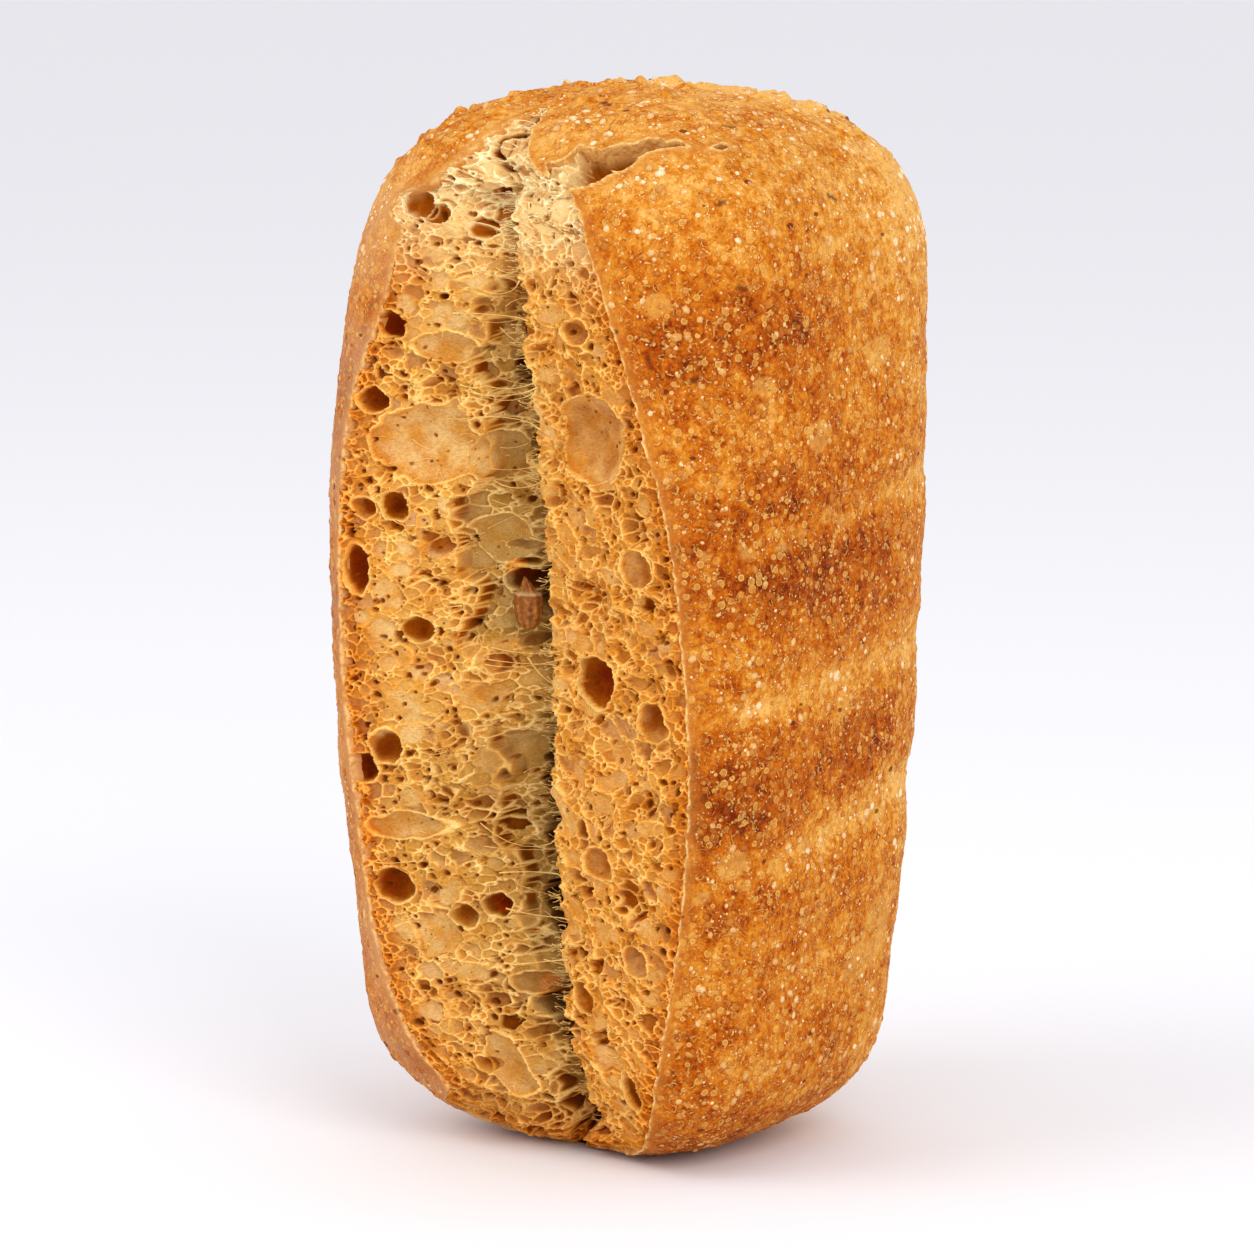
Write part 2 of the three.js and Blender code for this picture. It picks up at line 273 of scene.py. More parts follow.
    def crease_sink(self, angle: Array, height: Array) -> Array:
        """How far the slanted creases sink the skin."""
        side = ease(*self.creases_begin, angle) * (1 - ease(*self.creases_end, angle))
        sink = 0.0
        for front, rise, depth, half in self.creases:
            sink = sink + depth * bell(height - front - rise * angle, half)
        return sink * side

    def foot_cut(self, angle: Array, height: Array) -> Array:
        """Share of the radius that the rounder front of the foot takes away."""
        cut, ends, middle, half = self.front_foot
        off = ((angle - middle + 180) % 360 - 180) / half
        return cut * np.exp(-(off ** 2)) * (1 - ease(0, ends, height / self.length))

    def skin(self, angle: Array, way: Array) -> Array:
        """Points of the unbroken skin.

        Args:
            angle: degrees from the front, growing to the right.
            way: ways along the skin, 0 at the foot's middle and 1 at the crown's.

        Returns:
            Points in millimetres.
        """
        turn = np.radians(angle - 90.0)
        cos = np.cos(turn)
        sin = np.sin(turn)
        scale, height = self.meridian(way)
        d = height / self.length - self.belly_at
        foot_drop, foot_reach = self.taper_to_foot
        crown_drop, crown_reach = self.taper_to_crown
        to_foot = 1 - foot_drop * (d / foot_reach) ** 2
        to_crown = 1 - crown_drop * (d / crown_reach) ** 2
        full = np.where(d < 0, to_foot, to_crown)
        cut, low, high = self.left_shoulder
        shoulder = np.where(cos < 0, 1 - cut * ease(low, high, height / self.length), 1.0)
        across = np.abs(cos) / (self.half_width * full * shoulder)
        deep = np.abs(sin) / (self.half_depth * full)
        reach = (across ** self.squareness + deep ** self.squareness) ** (-1 / self.squareness)
        radius = (reach - self.crease_sink(angle, height)) * scale * (1 - self.foot_cut(angle, height))
        lean = ease(*self.lean_over, height / self.length)
        x = radius * cos + self.crown_lean[0] * lean
        y = radius * sin + self.crown_lean[1] * lean
        return np.stack([x, y, height], -1) + self.offset

    def lips(self, way: Array) -> tuple[Array, Array]:
        """Left and right lip angles, which meet at both ends of the burst.

        Args:
            way: ways along the skin.

        Returns:
            Angles in degrees.
        """
        at, half, degrees = self.notch
        left = self.along(way, 1) - degrees * np.exp(-(((way - at) / half) ** 4))
        right = self.along(way, 2)
        first = self.burst[0][0]
        last = self.burst[-1][0]
        close = self.lips_close_over
        shut = ease(first, first + close, way) * (1 - ease(last - close, last, way))
        middle = (left + right) / 2
        return middle + (left - middle) * shut, middle + (right - middle) * shut

    def half_widths(self, way: Array) -> tuple[Array, Array]:
        """Distances from the crack to the left lip and to the right lip."""
        left, right = self.lips(way)
        width = np.linalg.norm(self.skin(left, way) - self.skin(right, way), axis=-1)
        share = self.along(way, 3)
        return width * share, width * (1 - share)

    def face(self, q: Array, way: Array) -> Array:
        """Points of the burst face before its cells.

        Args:
            q: -1 at the left lip, 0 at the crack and 1 at the right lip.
            way: ways along the skin.

        Returns:
            Points in millimetres.
        """
        left, right = self.lips(way)
        middle = self.along(way, 3)
        depth = self.along(way, 4)
        share = np.where(q < 0, middle * (1 + q), middle + (1 - middle) * q)
        a = self.skin(left, way)
        b = self.skin(right, way)
        flat = a + (b - a) * share[..., None]
        arc = self.skin(left + (right - left) * share, way)
        opened = ease(*self.opens_over, depth)[..., None]
        point = arc + (flat - arc) * opened
        turn = self.valley_turn_at_ends * (1 - self.meridian(way)[0])
        inward = np.zeros_like(point)
        inward[..., 1] = 1.0
        inward[..., 2] = np.where(way < self.belly_at, turn, -turn)
        sink = depth * np.clip(1 - np.abs(q), 0, 1) ** self.valley_power
        return point + unit(inward) * sink[..., None]


class Lip(Enum):
    """The two edges of the crust along the burst, by their column in the crust's grid."""

    RIGHT = 0
    LEFT = -1


@dataclass
class Patch:
    """A mesh being made: points in millimetres, faces, and one named value list per point."""

    name: str
    points: Array
    faces: Array
    values: Values = field(default_factory=dict)
    corner_uv: Array | None = None
    normals: Array | None = None


def set_values(mesh: Mesh, values: Values) -> None:
    """Store one named value for each point of a mesh."""
    for name, value in values.items():
        attribute = mesh.attributes.new(name, "FLOAT", "POINT")
        attribute.data.foreach_set("value", np.ascontiguousarray(value, dtype=np.float32).ravel())


def new_mesh(patch: Patch, material: Material) -> Mesh:
    """Make a Blender mesh from a patch.

    Args:
        patch: the mesh to make.
        material: its material.

    Returns:
        The mesh, in metres.
    """
    mesh = bpy.data.meshes.new(patch.name)
    sides = patch.faces.shape[1]
    mesh.vertices.add(len(patch.points))
    mesh.vertices.foreach_set("co", (patch.points * MM).astype(np.float32).ravel())
    mesh.loops.add(patch.faces.size)
    mesh.loops.foreach_set("vertex_index", patch.faces.astype(np.int32).ravel())
    mesh.polygons.add(len(patch.faces))
    mesh.polygons.foreach_set("loop_start", np.arange(0, patch.faces.size, sides, dtype=np.int32))
    mesh.polygons.foreach_set("use_smooth", np.ones(len(patch.faces), dtype=bool))
    set_values(mesh, patch.values)
    if patch.corner_uv is not None:
        low = patch.corner_uv.reshape(-1, 2).min(0)
        wide = np.ptp(patch.corner_uv.reshape(-1, 2), axis=0)
        layer = mesh.uv_layers.new(name="OFBake")
        spread = (patch.corner_uv - low) / wide * (1 - 2 * UV_MARGIN) + UV_MARGIN
        layer.data.foreach_set("uv", spread.astype(np.float32).ravel())
    mesh.update(calc_edges=True)
    mesh.validate()
    if patch.normals is not None:
        mesh.normals_split_custom_set_from_vertices(patch.normals.astype(np.float32))
    mesh.materials.append(material)
    return mesh


def add_piece(name: str, mesh: Mesh) -> Piece:
    """Make an object that rides on the loaf and stands for its solid.

    Args:
        name: name of the piece.
        mesh: its mesh, already in place.

    Returns:
        The new object.
    """
    piece = bpy.data.objects.new(name, mesh)
    bpy.context.scene.collection.objects.link(piece)
    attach(piece, BODY)
    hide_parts(NODE)
    triangles = sum(len(face.vertices) - 2 for face in mesh.polygons)
    log.info("%s: %d triangles", name, triangles)
    return piece


def point_normals(points: Array, faces: Array) -> Array:
    """Smooth normals of a mesh of triangles or quads.

    Args:
        points: the mesh's points.
        faces: its faces.

    Returns:
        One normal for each point.
    """
    corners = points[faces]
    flat = np.cross(corners[:, 1] - corners[:, 0], corners[:, 2] - corners[:, 0])
    if faces.shape[1] == 4:
        flat = flat + np.cross(corners[:, 2] - corners[:, 0], corners[:, 3] - corners[:, 0])
    total = np.zeros_like(points)
    for n in range(faces.shape[1]):
        for axis in range(3):
            total[:, axis] += np.bincount(faces[:, n], flat[:, axis], len(points))
    return unit(total)


def worley(spots: Array, size: float, seed: int) -> tuple[Array, Array]:
    """Distances from flat spots to the nearest and the second nearest of many scattered middles.

    Args:
        spots: flat places in millimetres, last axis of length 2.
        size: usual way between middles in millimetres.
        seed: seed of the scatter.

    Returns:
        Both distances in millimetres.
    """
    side = 64
    table = np.random.default_rng(seed).random((side, side, 2))
    cell = np.floor(spots / size).astype(int)
    nearest = np.full(spots.shape[:-1], np.inf)
    second = np.full(spots.shape[:-1], np.inf)
    for shift in np.ndindex(3, 3):
        near = cell + np.array(shift) - 1
        middle = (near + table[near[..., 0] % side, near[..., 1] % side]) * size
        away = np.linalg.norm(spots - middle, axis=-1)
        second = np.minimum(second, np.maximum(nearest, away))
        nearest = np.minimum(nearest, away)
    return nearest, second


def kept_part(patch: Patch, name: str, keep: Array) -> Patch:
    """The part of a patch made of some of its faces.

    Args:
        patch: the whole mesh.
        name: name of the part.
        keep: true for each face that stays, or the numbers of those faces in order.

    Returns:
        A patch with only the points that those faces use.
    """
    faces = patch.faces[keep]
    used, numbered = np.unique(faces, return_inverse=True)
    values = {key: value[used] for key, value in patch.values.items()}
    uv = None if patch.corner_uv is None else patch.corner_uv[keep]
    normals = None if patch.normals is None else patch.normals[used]
    return Patch(name, patch.points[used], numbered.reshape(faces.shape), values, uv, normals)


def distance_into(outline: Array, spots: Array) -> Array:
    """Distance from each spot to an outline, over 0 inside it.

    Args:
        outline: corners in order.
        spots: flat places in the same unit, last axis of length 2.

    Returns:
        One signed distance for each spot.
    """
    nearest = np.full(spots.shape[:-1], np.inf)
    within = np.zeros(spots.shape[:-1], dtype=bool)
    for start, end in zip(outline, np.roll(outline, -1, 0)):
        side = end - start
        away = spots - start
        t = np.clip(away @ side / (side @ side), 0, 1)
        nearest = np.minimum(nearest, np.linalg.norm(away - t[..., None] * side, axis=-1))
        spans = (start[1] > spots[..., 1]) != (end[1] > spots[..., 1])
        rise = side[1] if side[1] != 0 else 1e-9
        within ^= spans & (spots[..., 0] < start[0] + side[0] * (spots[..., 1] - start[1]) / rise)
    return np.where(within, nearest, -nearest)


class NodeTree:
    """A node tree and the one call that adds nodes to it."""

    def __init__(self, tree: bpy.types.NodeTree) -> None:
        """Start from an empty tree."""
        self.tree = tree
        tree.nodes.clear()

    def add(self, kind: str, inputs: dict[Any, Any] | None = None, **settings: Any) -> bpy.types.Node:
        """Add a node with its settings and links.

        Args:
            kind: the node's type name.
            inputs: socket name or number to a value or to an output socket.
            settings: properties of the node.

        Returns:
            The new node.
        """
        node = self.tree.nodes.new(kind)
        for name, value in settings.items():
            setattr(node, name, value)
        for key, value in (inputs or {}).items():
            if isinstance(value, Socket):
                self.tree.links.new(value, node.inputs[key])
            else:
                node.inputs[key].default_value = value
        return node

    def read(self, name: str) -> Socket:
        """Value that a mesh's points hold under a name."""
        return self.add("ShaderNodeAttribute", attribute_name=name).outputs["Fac"]

    def place(self) -> Socket:
        """Object coordinates."""
        return self.add("ShaderNodeTexCoord").outputs["Object"]

    def noise(
        self, place: Socket, width: float, detail: float, rough: float = 0.5, bend: float = 0.0
    ) -> Socket:
        """Soft bumps of a width in millimetres."""
        inputs = {"Vector": place, "Scale": per_mm(width), "Detail": detail}
        inputs |= {"Roughness": rough, "Distortion": bend}
        return self.add("ShaderNodeTexNoise", inputs).outputs["Fac"]

    def contour(self, place: Socket, width: float, half: float) -> Socket:
        """Winding lines where bumps of one width cross their middle height."""
        away = self.math("ABSOLUTE", self.minus(self.noise(place, width, 1.0, bend=0.6), 0.5))
        return self.span(away, 0.3 * half, half, (1.0, 0.0))

    def cells(self, place: Socket, width: float) -> tuple[Socket, Any]:
        """Distance to the nearest of many scattered spots, in widths, and three random values a spot."""
        node = self.add("ShaderNodeTexVoronoi", {"Vector": place, "Scale": per_mm(width)}, feature="F1")
        draw = self.add("ShaderNodeSeparateColor", {"Color": node.outputs["Color"]})
        return node.outputs["Distance"], draw.outputs

    def ramp(self, factor: Socket, stops: Stops) -> Socket:
        """Colours along a factor.

        Args:
            factor: the value to read.
            stops: places from 0 to 1 with their hex colours.

        Returns:
            The colour output.
        """
        node = self.add("ShaderNodeValToRGB", {"Fac": factor})
        elements = node.color_ramp.elements
        while len(elements) < len(stops):
            elements.new(0.5)
        for element, (place, colour) in zip(elements, stops):
            element.position = place
            element.color = linear(colour)
        return node.outputs["Color"]

    def blend(self, factor: Any, a: Any, b: Any, mode: str = "MIX") -> Socket:
        """Mix two colours by a factor."""
        a = linear(a) if isinstance(a, str) else a
        b = linear(b) if isinstance(b, str) else b
        node = self.add("ShaderNodeMix", {0: factor, 6: a, 7: b}, data_type="RGBA", blend_type=mode)
        return node.outputs[2]

    def math(self, operation: str, a: Any, b: Any = 0.0, clamp: bool = False) -> Socket:
        """One sum of two values."""
        return self.add("ShaderNodeMath", {0: a, 1: b}, operation=operation, use_clamp=clamp).outputs[0]

    def times(self, a: Any, b: Any) -> Socket:
        """Product of two values."""
        return self.math("MULTIPLY", a, b)

    def plus(self, a: Any, b: Any, clamp: bool = False) -> Socket:
        """Two values added."""
        return self.math("ADD", a, b, clamp)

    def minus(self, a: Any, b: Any) -> Socket:
        """Difference of two values."""
        return self.math("SUBTRACT", a, b)

    def most(self, a: Any, b: Any) -> Socket:
        """Larger of two values."""
        return self.math("MAXIMUM", a, b)

    def span(self, value: Any, low: float, high: float, to: Pair = (0, 1)) -> Socket:
        """Map a range smoothly onto another."""
        inputs = {"Value": value, "From Min": low, "From Max": high, "To Min": to[0], "To Max": to[1]}
        node = self.add("ShaderNodeMapRange", inputs, interpolation_type="SMOOTHSTEP")
        return node.outputs["Result"]

    def brighten(self, colour: Socket, by: Socket) -> Socket:
        """Multiply a colour by a value."""
        grey = self.add("ShaderNodeCombineColor", {0: by, 1: by, 2: by}).outputs[0]
        return self.blend(1.0, colour, grey, "MULTIPLY")

    def bumps(self, strength: float, height_mm: float, height: Socket) -> Socket:
        """Normals that shade a height as relief."""
        inputs = {"Strength": strength, "Distance": height_mm * MM, "Height": height}
        return self.add("ShaderNodeBump", inputs).outputs[0]

    def surface(self, look: dict[str, Any]) -> None:
        """Close a material's tree with one shader that has these sockets set."""
        shader = self.add("ShaderNodeBsdfPrincipled", look)
        self.add("ShaderNodeOutputMaterial", {"Surface": shader.outputs[0]})


def new_material(name: str) -> tuple[Material, NodeTree]:
    """An empty material and its tree."""
    made = bpy.data.materials.new(name)
    made.use_nodes = True
    return made, NodeTree(made.node_tree)


def per_mm(size: float) -> float:
    """Texture scale, in metres, of a pattern whose cells are size millimetres wide."""
    return 1.0 / (size * MM)


@dataclass(frozen=True)
class CrustFinish:
    """Tin-baked spelt crust: a thin browned skin that the oven blistered.

    It gives the eye mottled orange browns, pale rings, winding lines of painted glint, golden film and dark
    bran flecks.
    """

    name: str = "baked_spelt_crust"
    shades: Stops = (
        (0.0, "#eab05a"), (0.3, "#d28322"), (0.55, "#b95c08"), (0.78, "#963c02"), (1.0, "#6c2200"),
    )
    line: str = "#efb458"
    pale: str = "#f8d8a2"
    film: str = "#e2aa50"
    bevel: str = "#c0762c"
    dust: str = "#ca9062"
    bran: str = "#5c1d0c"
    rim: str = "#fbd184"
    # Painted shade inside the pinholes
    hole: str = "#2a1006"
    # Width in millimetres of each pattern's bumps or cells
    mottle_width: float = 4.0
    patch_width: float = 1.3
    grit_width: float = 0.45
    speck_width: float = 0.7
    ring_width: float = 1.8
    line_width: float = 2.1
    vein_width: float = 8.0
    bran_spacing: float = 6.0
    hole_spacing: float = 11.0
    wave_roughness: float = 0.6
    # Swing of the brown by mottle, patches and grit
    swings: Three = (0.22, 0.2, 0.11)
    # Strength of each layer of colour
    film_share: float = 0.4
    dome_share: float = 0.45
    line_share: float = 0.8
    bran_share: float = 0.8
    halo_share: float = 0.5
    bran_stretch: Three = (1.0, 1.0, 1.7)
    bran_turn: Three = (0.4, 0.5, 0)
    # Strength and height in millimetres of the fine relief
    relief: Pair = (0.8, 0.35)
    # Least and most roughness
    roughness: Pair = (0.48, 0.75)
    specular: float = 0.06
    ior: float = 1.45

    def material(self) -> Material:
        """Build the material.

        Returns:
            A material that reads the points' toast, rim, film, mark, pale, bevel and dust values.
        """
        made, t = new_material(self.name)
        place = t.place()
        names = ("toast", "rim", "film", "mark", "pale", "bevel", "dust")
        toast, rim, film, mark, pale, bevel, dust = (t.read(name) for name in names)
        mottle = t.noise(place, self.mottle_width, 5.0, self.wave_roughness)
        patch = t.noise(place, self.patch_width, 2.0, self.wave_roughness)
        grit = t.noise(place, self.grit_width, 2.0, self.wave_roughness)
        by_mottle, by_patch, by_grit = self.swings
        shade = t.plus(toast, t.span(mottle, 0.25, 0.75, (-by_mottle, by_mottle)))
        shade = t.plus(shade, t.span(patch, 0.25, 0.75, (-by_patch, by_patch)))
        shade = t.plus(shade, t.span(grit, 0.2, 0.8, (-by_grit, by_grit)), clamp=True)
        colour = t.blend(t.times(film, self.film_share), t.ramp(shade, self.shades), self.film)
        colour = t.blend(bevel, colour, self.bevel)
        colour = t.blend(t.times(dust, t.span(grit, 0.3, 0.7, (0.5, 0.85))), colour, self.dust)
        # Blister outlines and their domes, winding lines and veins; the winding lines are painted glints on
        # the glossy skin
        away, chance = t.cells(place, self.ring_width)
        away = t.minus(away, t.span(chance[0], 0.0, 1.0, (0.1, 0.42)))
        shown = t.span(chance[1], 0.2, 0.7)
        ring = t.times(t.span(t.math("ABSOLUTE", away), 0.02, 0.085, (1.0, 0.0)), shown)
        dome = t.times(t.span(away, -0.1, 0.02, (1.0, 0.0)), shown)
        line = t.times(t.contour(place, self.line_width, 0.06), t.span(patch, 0.5, 0.62, (0.0, 0.8)))
        vein = t.times(t.contour(place, self.vein_width, 0.01), t.span(patch, 0.45, 0.6, (0.0, 0.6)))
        bare = t.span(bevel, 0.1, 0.6, (1.0, 0.1))
        lines = t.times(t.most(ring, t.most(line, vein)), bare)
        # Pale specks, partly blister tops and partly painted glints, fewer where the crust is brown
        away, chance = t.cells(place, self.speck_width)
        speck = t.span(t.minus(t.span(chance[0], 0.35, 1.0, (0.02, 0.4)), away), 0.0, 0.1)
        speck = t.times(t.times(speck, chance[1]), bare)
        colour = t.blend(t.times(dome, self.dome_share), colour, self.film)
        colour = t.blend(t.times(t.most(lines, pale), self.line_share), colour, self.line)
        colour = t.blend(t.times(speck, t.span(toast, 0.1, 0.5, (0.95, 0.48))), colour, self.pale)
        lines = t.most(lines, speck)
        # Bran flecks, pinholes painted dark as shade with a pale ring, and the torn rim
        turned = {"Vector": place, "Scale": self.bran_stretch, "Rotation": self.bran_turn}
        turned = t.add("ShaderNodeMapping", turned).outputs[0]
        away, chance = t.cells(turned, self.bran_spacing)
        fleck = t.span(t.minus(t.span(chance[2], 0.5, 1.0, (0.0, 0.19)), away), 0.0, 0.05)
        colour = t.blend(t.times(t.most(fleck, mark), self.bran_share), colour, self.bran)
        away, chance = t.cells(place, self.hole_spacing)
        size = t.span(chance[0], 0.4, 1.0, (-0.05, 0.045))
        hole = t.span(t.minus(size, away), 0.0, 0.015)
        halo = t.span(t.minus(t.plus(size, 0.03), away), 0.0, 0.02)
        colour = t.blend(hole, t.blend(t.times(halo, self.halo_share), colour, self.pale), self.hole)
        colour = t.blend(t.times(rim, t.span(patch, 0.35, 0.6, (0.12, 0.95))), colour, self.rim)
        height = t.plus(t.times(lines, 0.5), t.times(grit, 0.5))
        height = t.plus(height, t.times(patch, 0.8))
        height = t.plus(height, t.minus(t.times(dome, 0.5), hole))
        look = {"Base Color": colour, "Roughness": t.span(grit, 0.3, 0.7, self.roughness), "IOR": self.ior}
        look |= {"Specular IOR Level": self.specular, "Normal": t.bumps(*self.relief, height)}
        t.surface(look)
        return made


@dataclass(frozen=True)
class BlisterFinish:
    """Blistered crust skin: gas under the skin lifted it into thin domes, which dried pale.

    It gives the eye peach and cream beads with a soft shine among the browns.
    """

    name: str = "blistered_crust_skin"
    shades: Stops = (
        (0.0, "#ae5810"), (0.4, "#cc8430"), (0.75, "#e8b670"), (1.0, "#f8dcae"),
    )
    grit_width: float = 0.3
    # Change of tone on pale and on brown crust, and its swing by the grit
    by_toast: Pair = (0.45, -0.1)
    swing: float = 0.2
    roughness: float = 0.5
    specular: float = 0.15
    ior: float = 1.45

    def material(self) -> Material:
        """Build the material.

        Returns:
            A material that reads each bead's tone and the toast of the crust under it.
        """
        made, t = new_material(self.name)
        grit = t.noise(t.place(), self.grit_width, 2.0)
        tone = t.plus(t.read("tone"), t.span(t.read("toast"), 0.0, 0.8, self.by_toast))
        tone = t.plus(tone, t.span(grit, 0.2, 0.8, (-self.swing, self.swing)), clamp=True)
        look = {"Base Color": t.ramp(tone, self.shades), "Roughness": self.roughness, "IOR": self.ior}
        t.surface(look | {"Specular IOR Level": self.specular})
        return made


@dataclass(frozen=True)
class CrumbFinish:
    """Torn spelt crumb: cell walls of set dough, thin enough to glow.

    It gives the eye pale edges and golden walls, partly painted highlight and glow, beige floors, orange by
    the lips, and painted shade in deep cells, pits, the crack and its hollows.
    """

    name: str = "open_spelt_crumb"
    # Edges and walls: partly the crumb's own colour, partly painted highlight on the ridges and glow
    # through the thin walls
    edge: str = "#ffdc84"
    wall: str = "#f4ab3a"
    floors: Stops = ((0.0, "#d2861e"), (0.5, "#e2ac54"), (1.0, "#ecc484"))
    still: str = "#e6bc78"
    still_warm: str = "#dc9c40"
    # Painted shade in deep cells and pinholes, darker with depth
    deep_cell_shades: Stops = ((0.0, "#b0600c"), (1.0, "#6e1c00"))
    pinhole: str = "#90480c"
    toasted_edge: str = "#faa22e"
    toasted_wall: str = "#de7809"
    toasted: str = "#be6208"
    # Painted shade in deep cells by the lips
    toasted_deep_shade: str = "#7a2000"
    scorched: str = "#aa4c06"
    # Painted shade in the crack and its hollows, for edges, walls, floors and deep cells
    shaded_edge: str = "#e4c684"
    shaded_wall: str = "#b48a46"
    shaded: str = "#a07a38"
    shaded_deep: str = "#4a2406"
    cream: str = "#fde2a2"
    cream_edge: str = "#fff2c0"
    bran: str = "#7a2c10"
    mottle_width: float = 5.0
    bran_spacing: float = 8.0
    fibre_width: float = 0.35
    fibre_stretch: float = 0.4
    # Least and most brightness along the fibres, then strength and height of their relief
    fibre_light: Pair = (0.82, 1.14)
    relief: Pair = (0.6, 0.14)
    roughness: float = 0.85
    specular: float = 0.03
    ior: float = 1.4

    def material(self) -> Material:
        """Build the material.

        Returns:
            A material that reads the points' sink, lip, crack, rim, still, tint, pit and cream values;
            sink, pit and crack set painted shade.
        """
        made, t = new_material(self.name)
        place = t.place()
        names = ("sink", "lip", "crack", "rim", "cream", "still", "pit")
        sink, lip, crack, rim, cream, still, pit = (t.read(name) for name in names)
        mottle = t.noise(place, self.mottle_width, 4.0)
        along = {"Vector": place, "Scale": (self.fibre_stretch, 1.0, 1.0)}
        fibre = t.noise(t.add("ShaderNodeMapping", along).outputs[0], self.fibre_width, 3.0)
        # Painted shade: darker with depth below the rims, in pits, and grey in the crack
        far = t.span(sink, 0.55, 2.1)
        deep = t.ramp(t.span(sink, 1.4, 5.0), self.deep_cell_shades)
        patchy = t.span(mottle, 0.35, 0.68)
        near = t.times(lip, t.plus(t.times(patchy, 0.3), 0.7))
        near = t.most(near, t.times(patchy, 0.4))
        near = t.times(near, t.span(cream, 0.0, 1.0, (1.0, 0.25)))
        near = t.times(near, t.span(still, 0.0, 1.0, (1.0, 0.6)))
        far = t.times(far, t.span(still, 0.3, 1.0, (1.0, 0.45)))
        pan = t.blend(t.span(mottle, 0.42, 0.7), self.still, self.still_warm)
        plain = t.blend(t.times(still, 0.85), t.ramp(t.read("tint"), self.floors), pan)
        plain = t.blend(t.times(cream, 0.7), plain, self.cream)
        scorch = t.times(t.span(lip, 0.7, 1.0), t.span(patchy, 0.0, 1.0, (0.3, 0.95)))
        toasted = t.blend(scorch, self.toasted, self.scorched)
        floor = t.blend(crack, t.blend(near, plain, toasted), self.shaded)
        deep = t.blend(crack, t.blend(near, deep, self.toasted_deep_shade), self.shaded_deep)
        edge = t.blend(t.times(near, 0.85), self.edge, self.toasted_edge)
        edge = t.blend(crack, t.blend(cream, edge, self.cream_edge), self.shaded_edge)
        floor = t.blend(t.times(pit, 0.85), t.blend(far, floor, deep), self.pinhole)
        wall = t.blend(near, self.wall, self.toasted_wall)
        wall = t.blend(crack, t.blend(t.times(cream, 0.6), wall, self.cream), self.shaded_wall)
        colour = t.blend(t.span(rim, 0.0, 0.35, (0.0, 0.75)), floor, wall)
        colour = t.blend(t.span(rim, 0.2, 0.9, (0.0, 0.95)), colour, edge)
        away, chance = t.cells(place, self.bran_spacing)
        fleck = t.span(t.minus(t.span(chance[0], 0.6, 1.0, (0.0, 0.1)), away), 0.0, 0.03)
        colour = t.blend(t.times(fleck, 0.75), colour, self.bran)
        colour = t.brighten(colour, t.span(fibre, 0.25, 0.75, self.fibre_light))
        look = {"Base Color": colour, "Roughness": self.roughness, "IOR": self.ior}
        look |= {"Specular IOR Level": self.specular, "Normal": t.bumps(*self.relief, fibre)}
        t.surface(look)
        return made


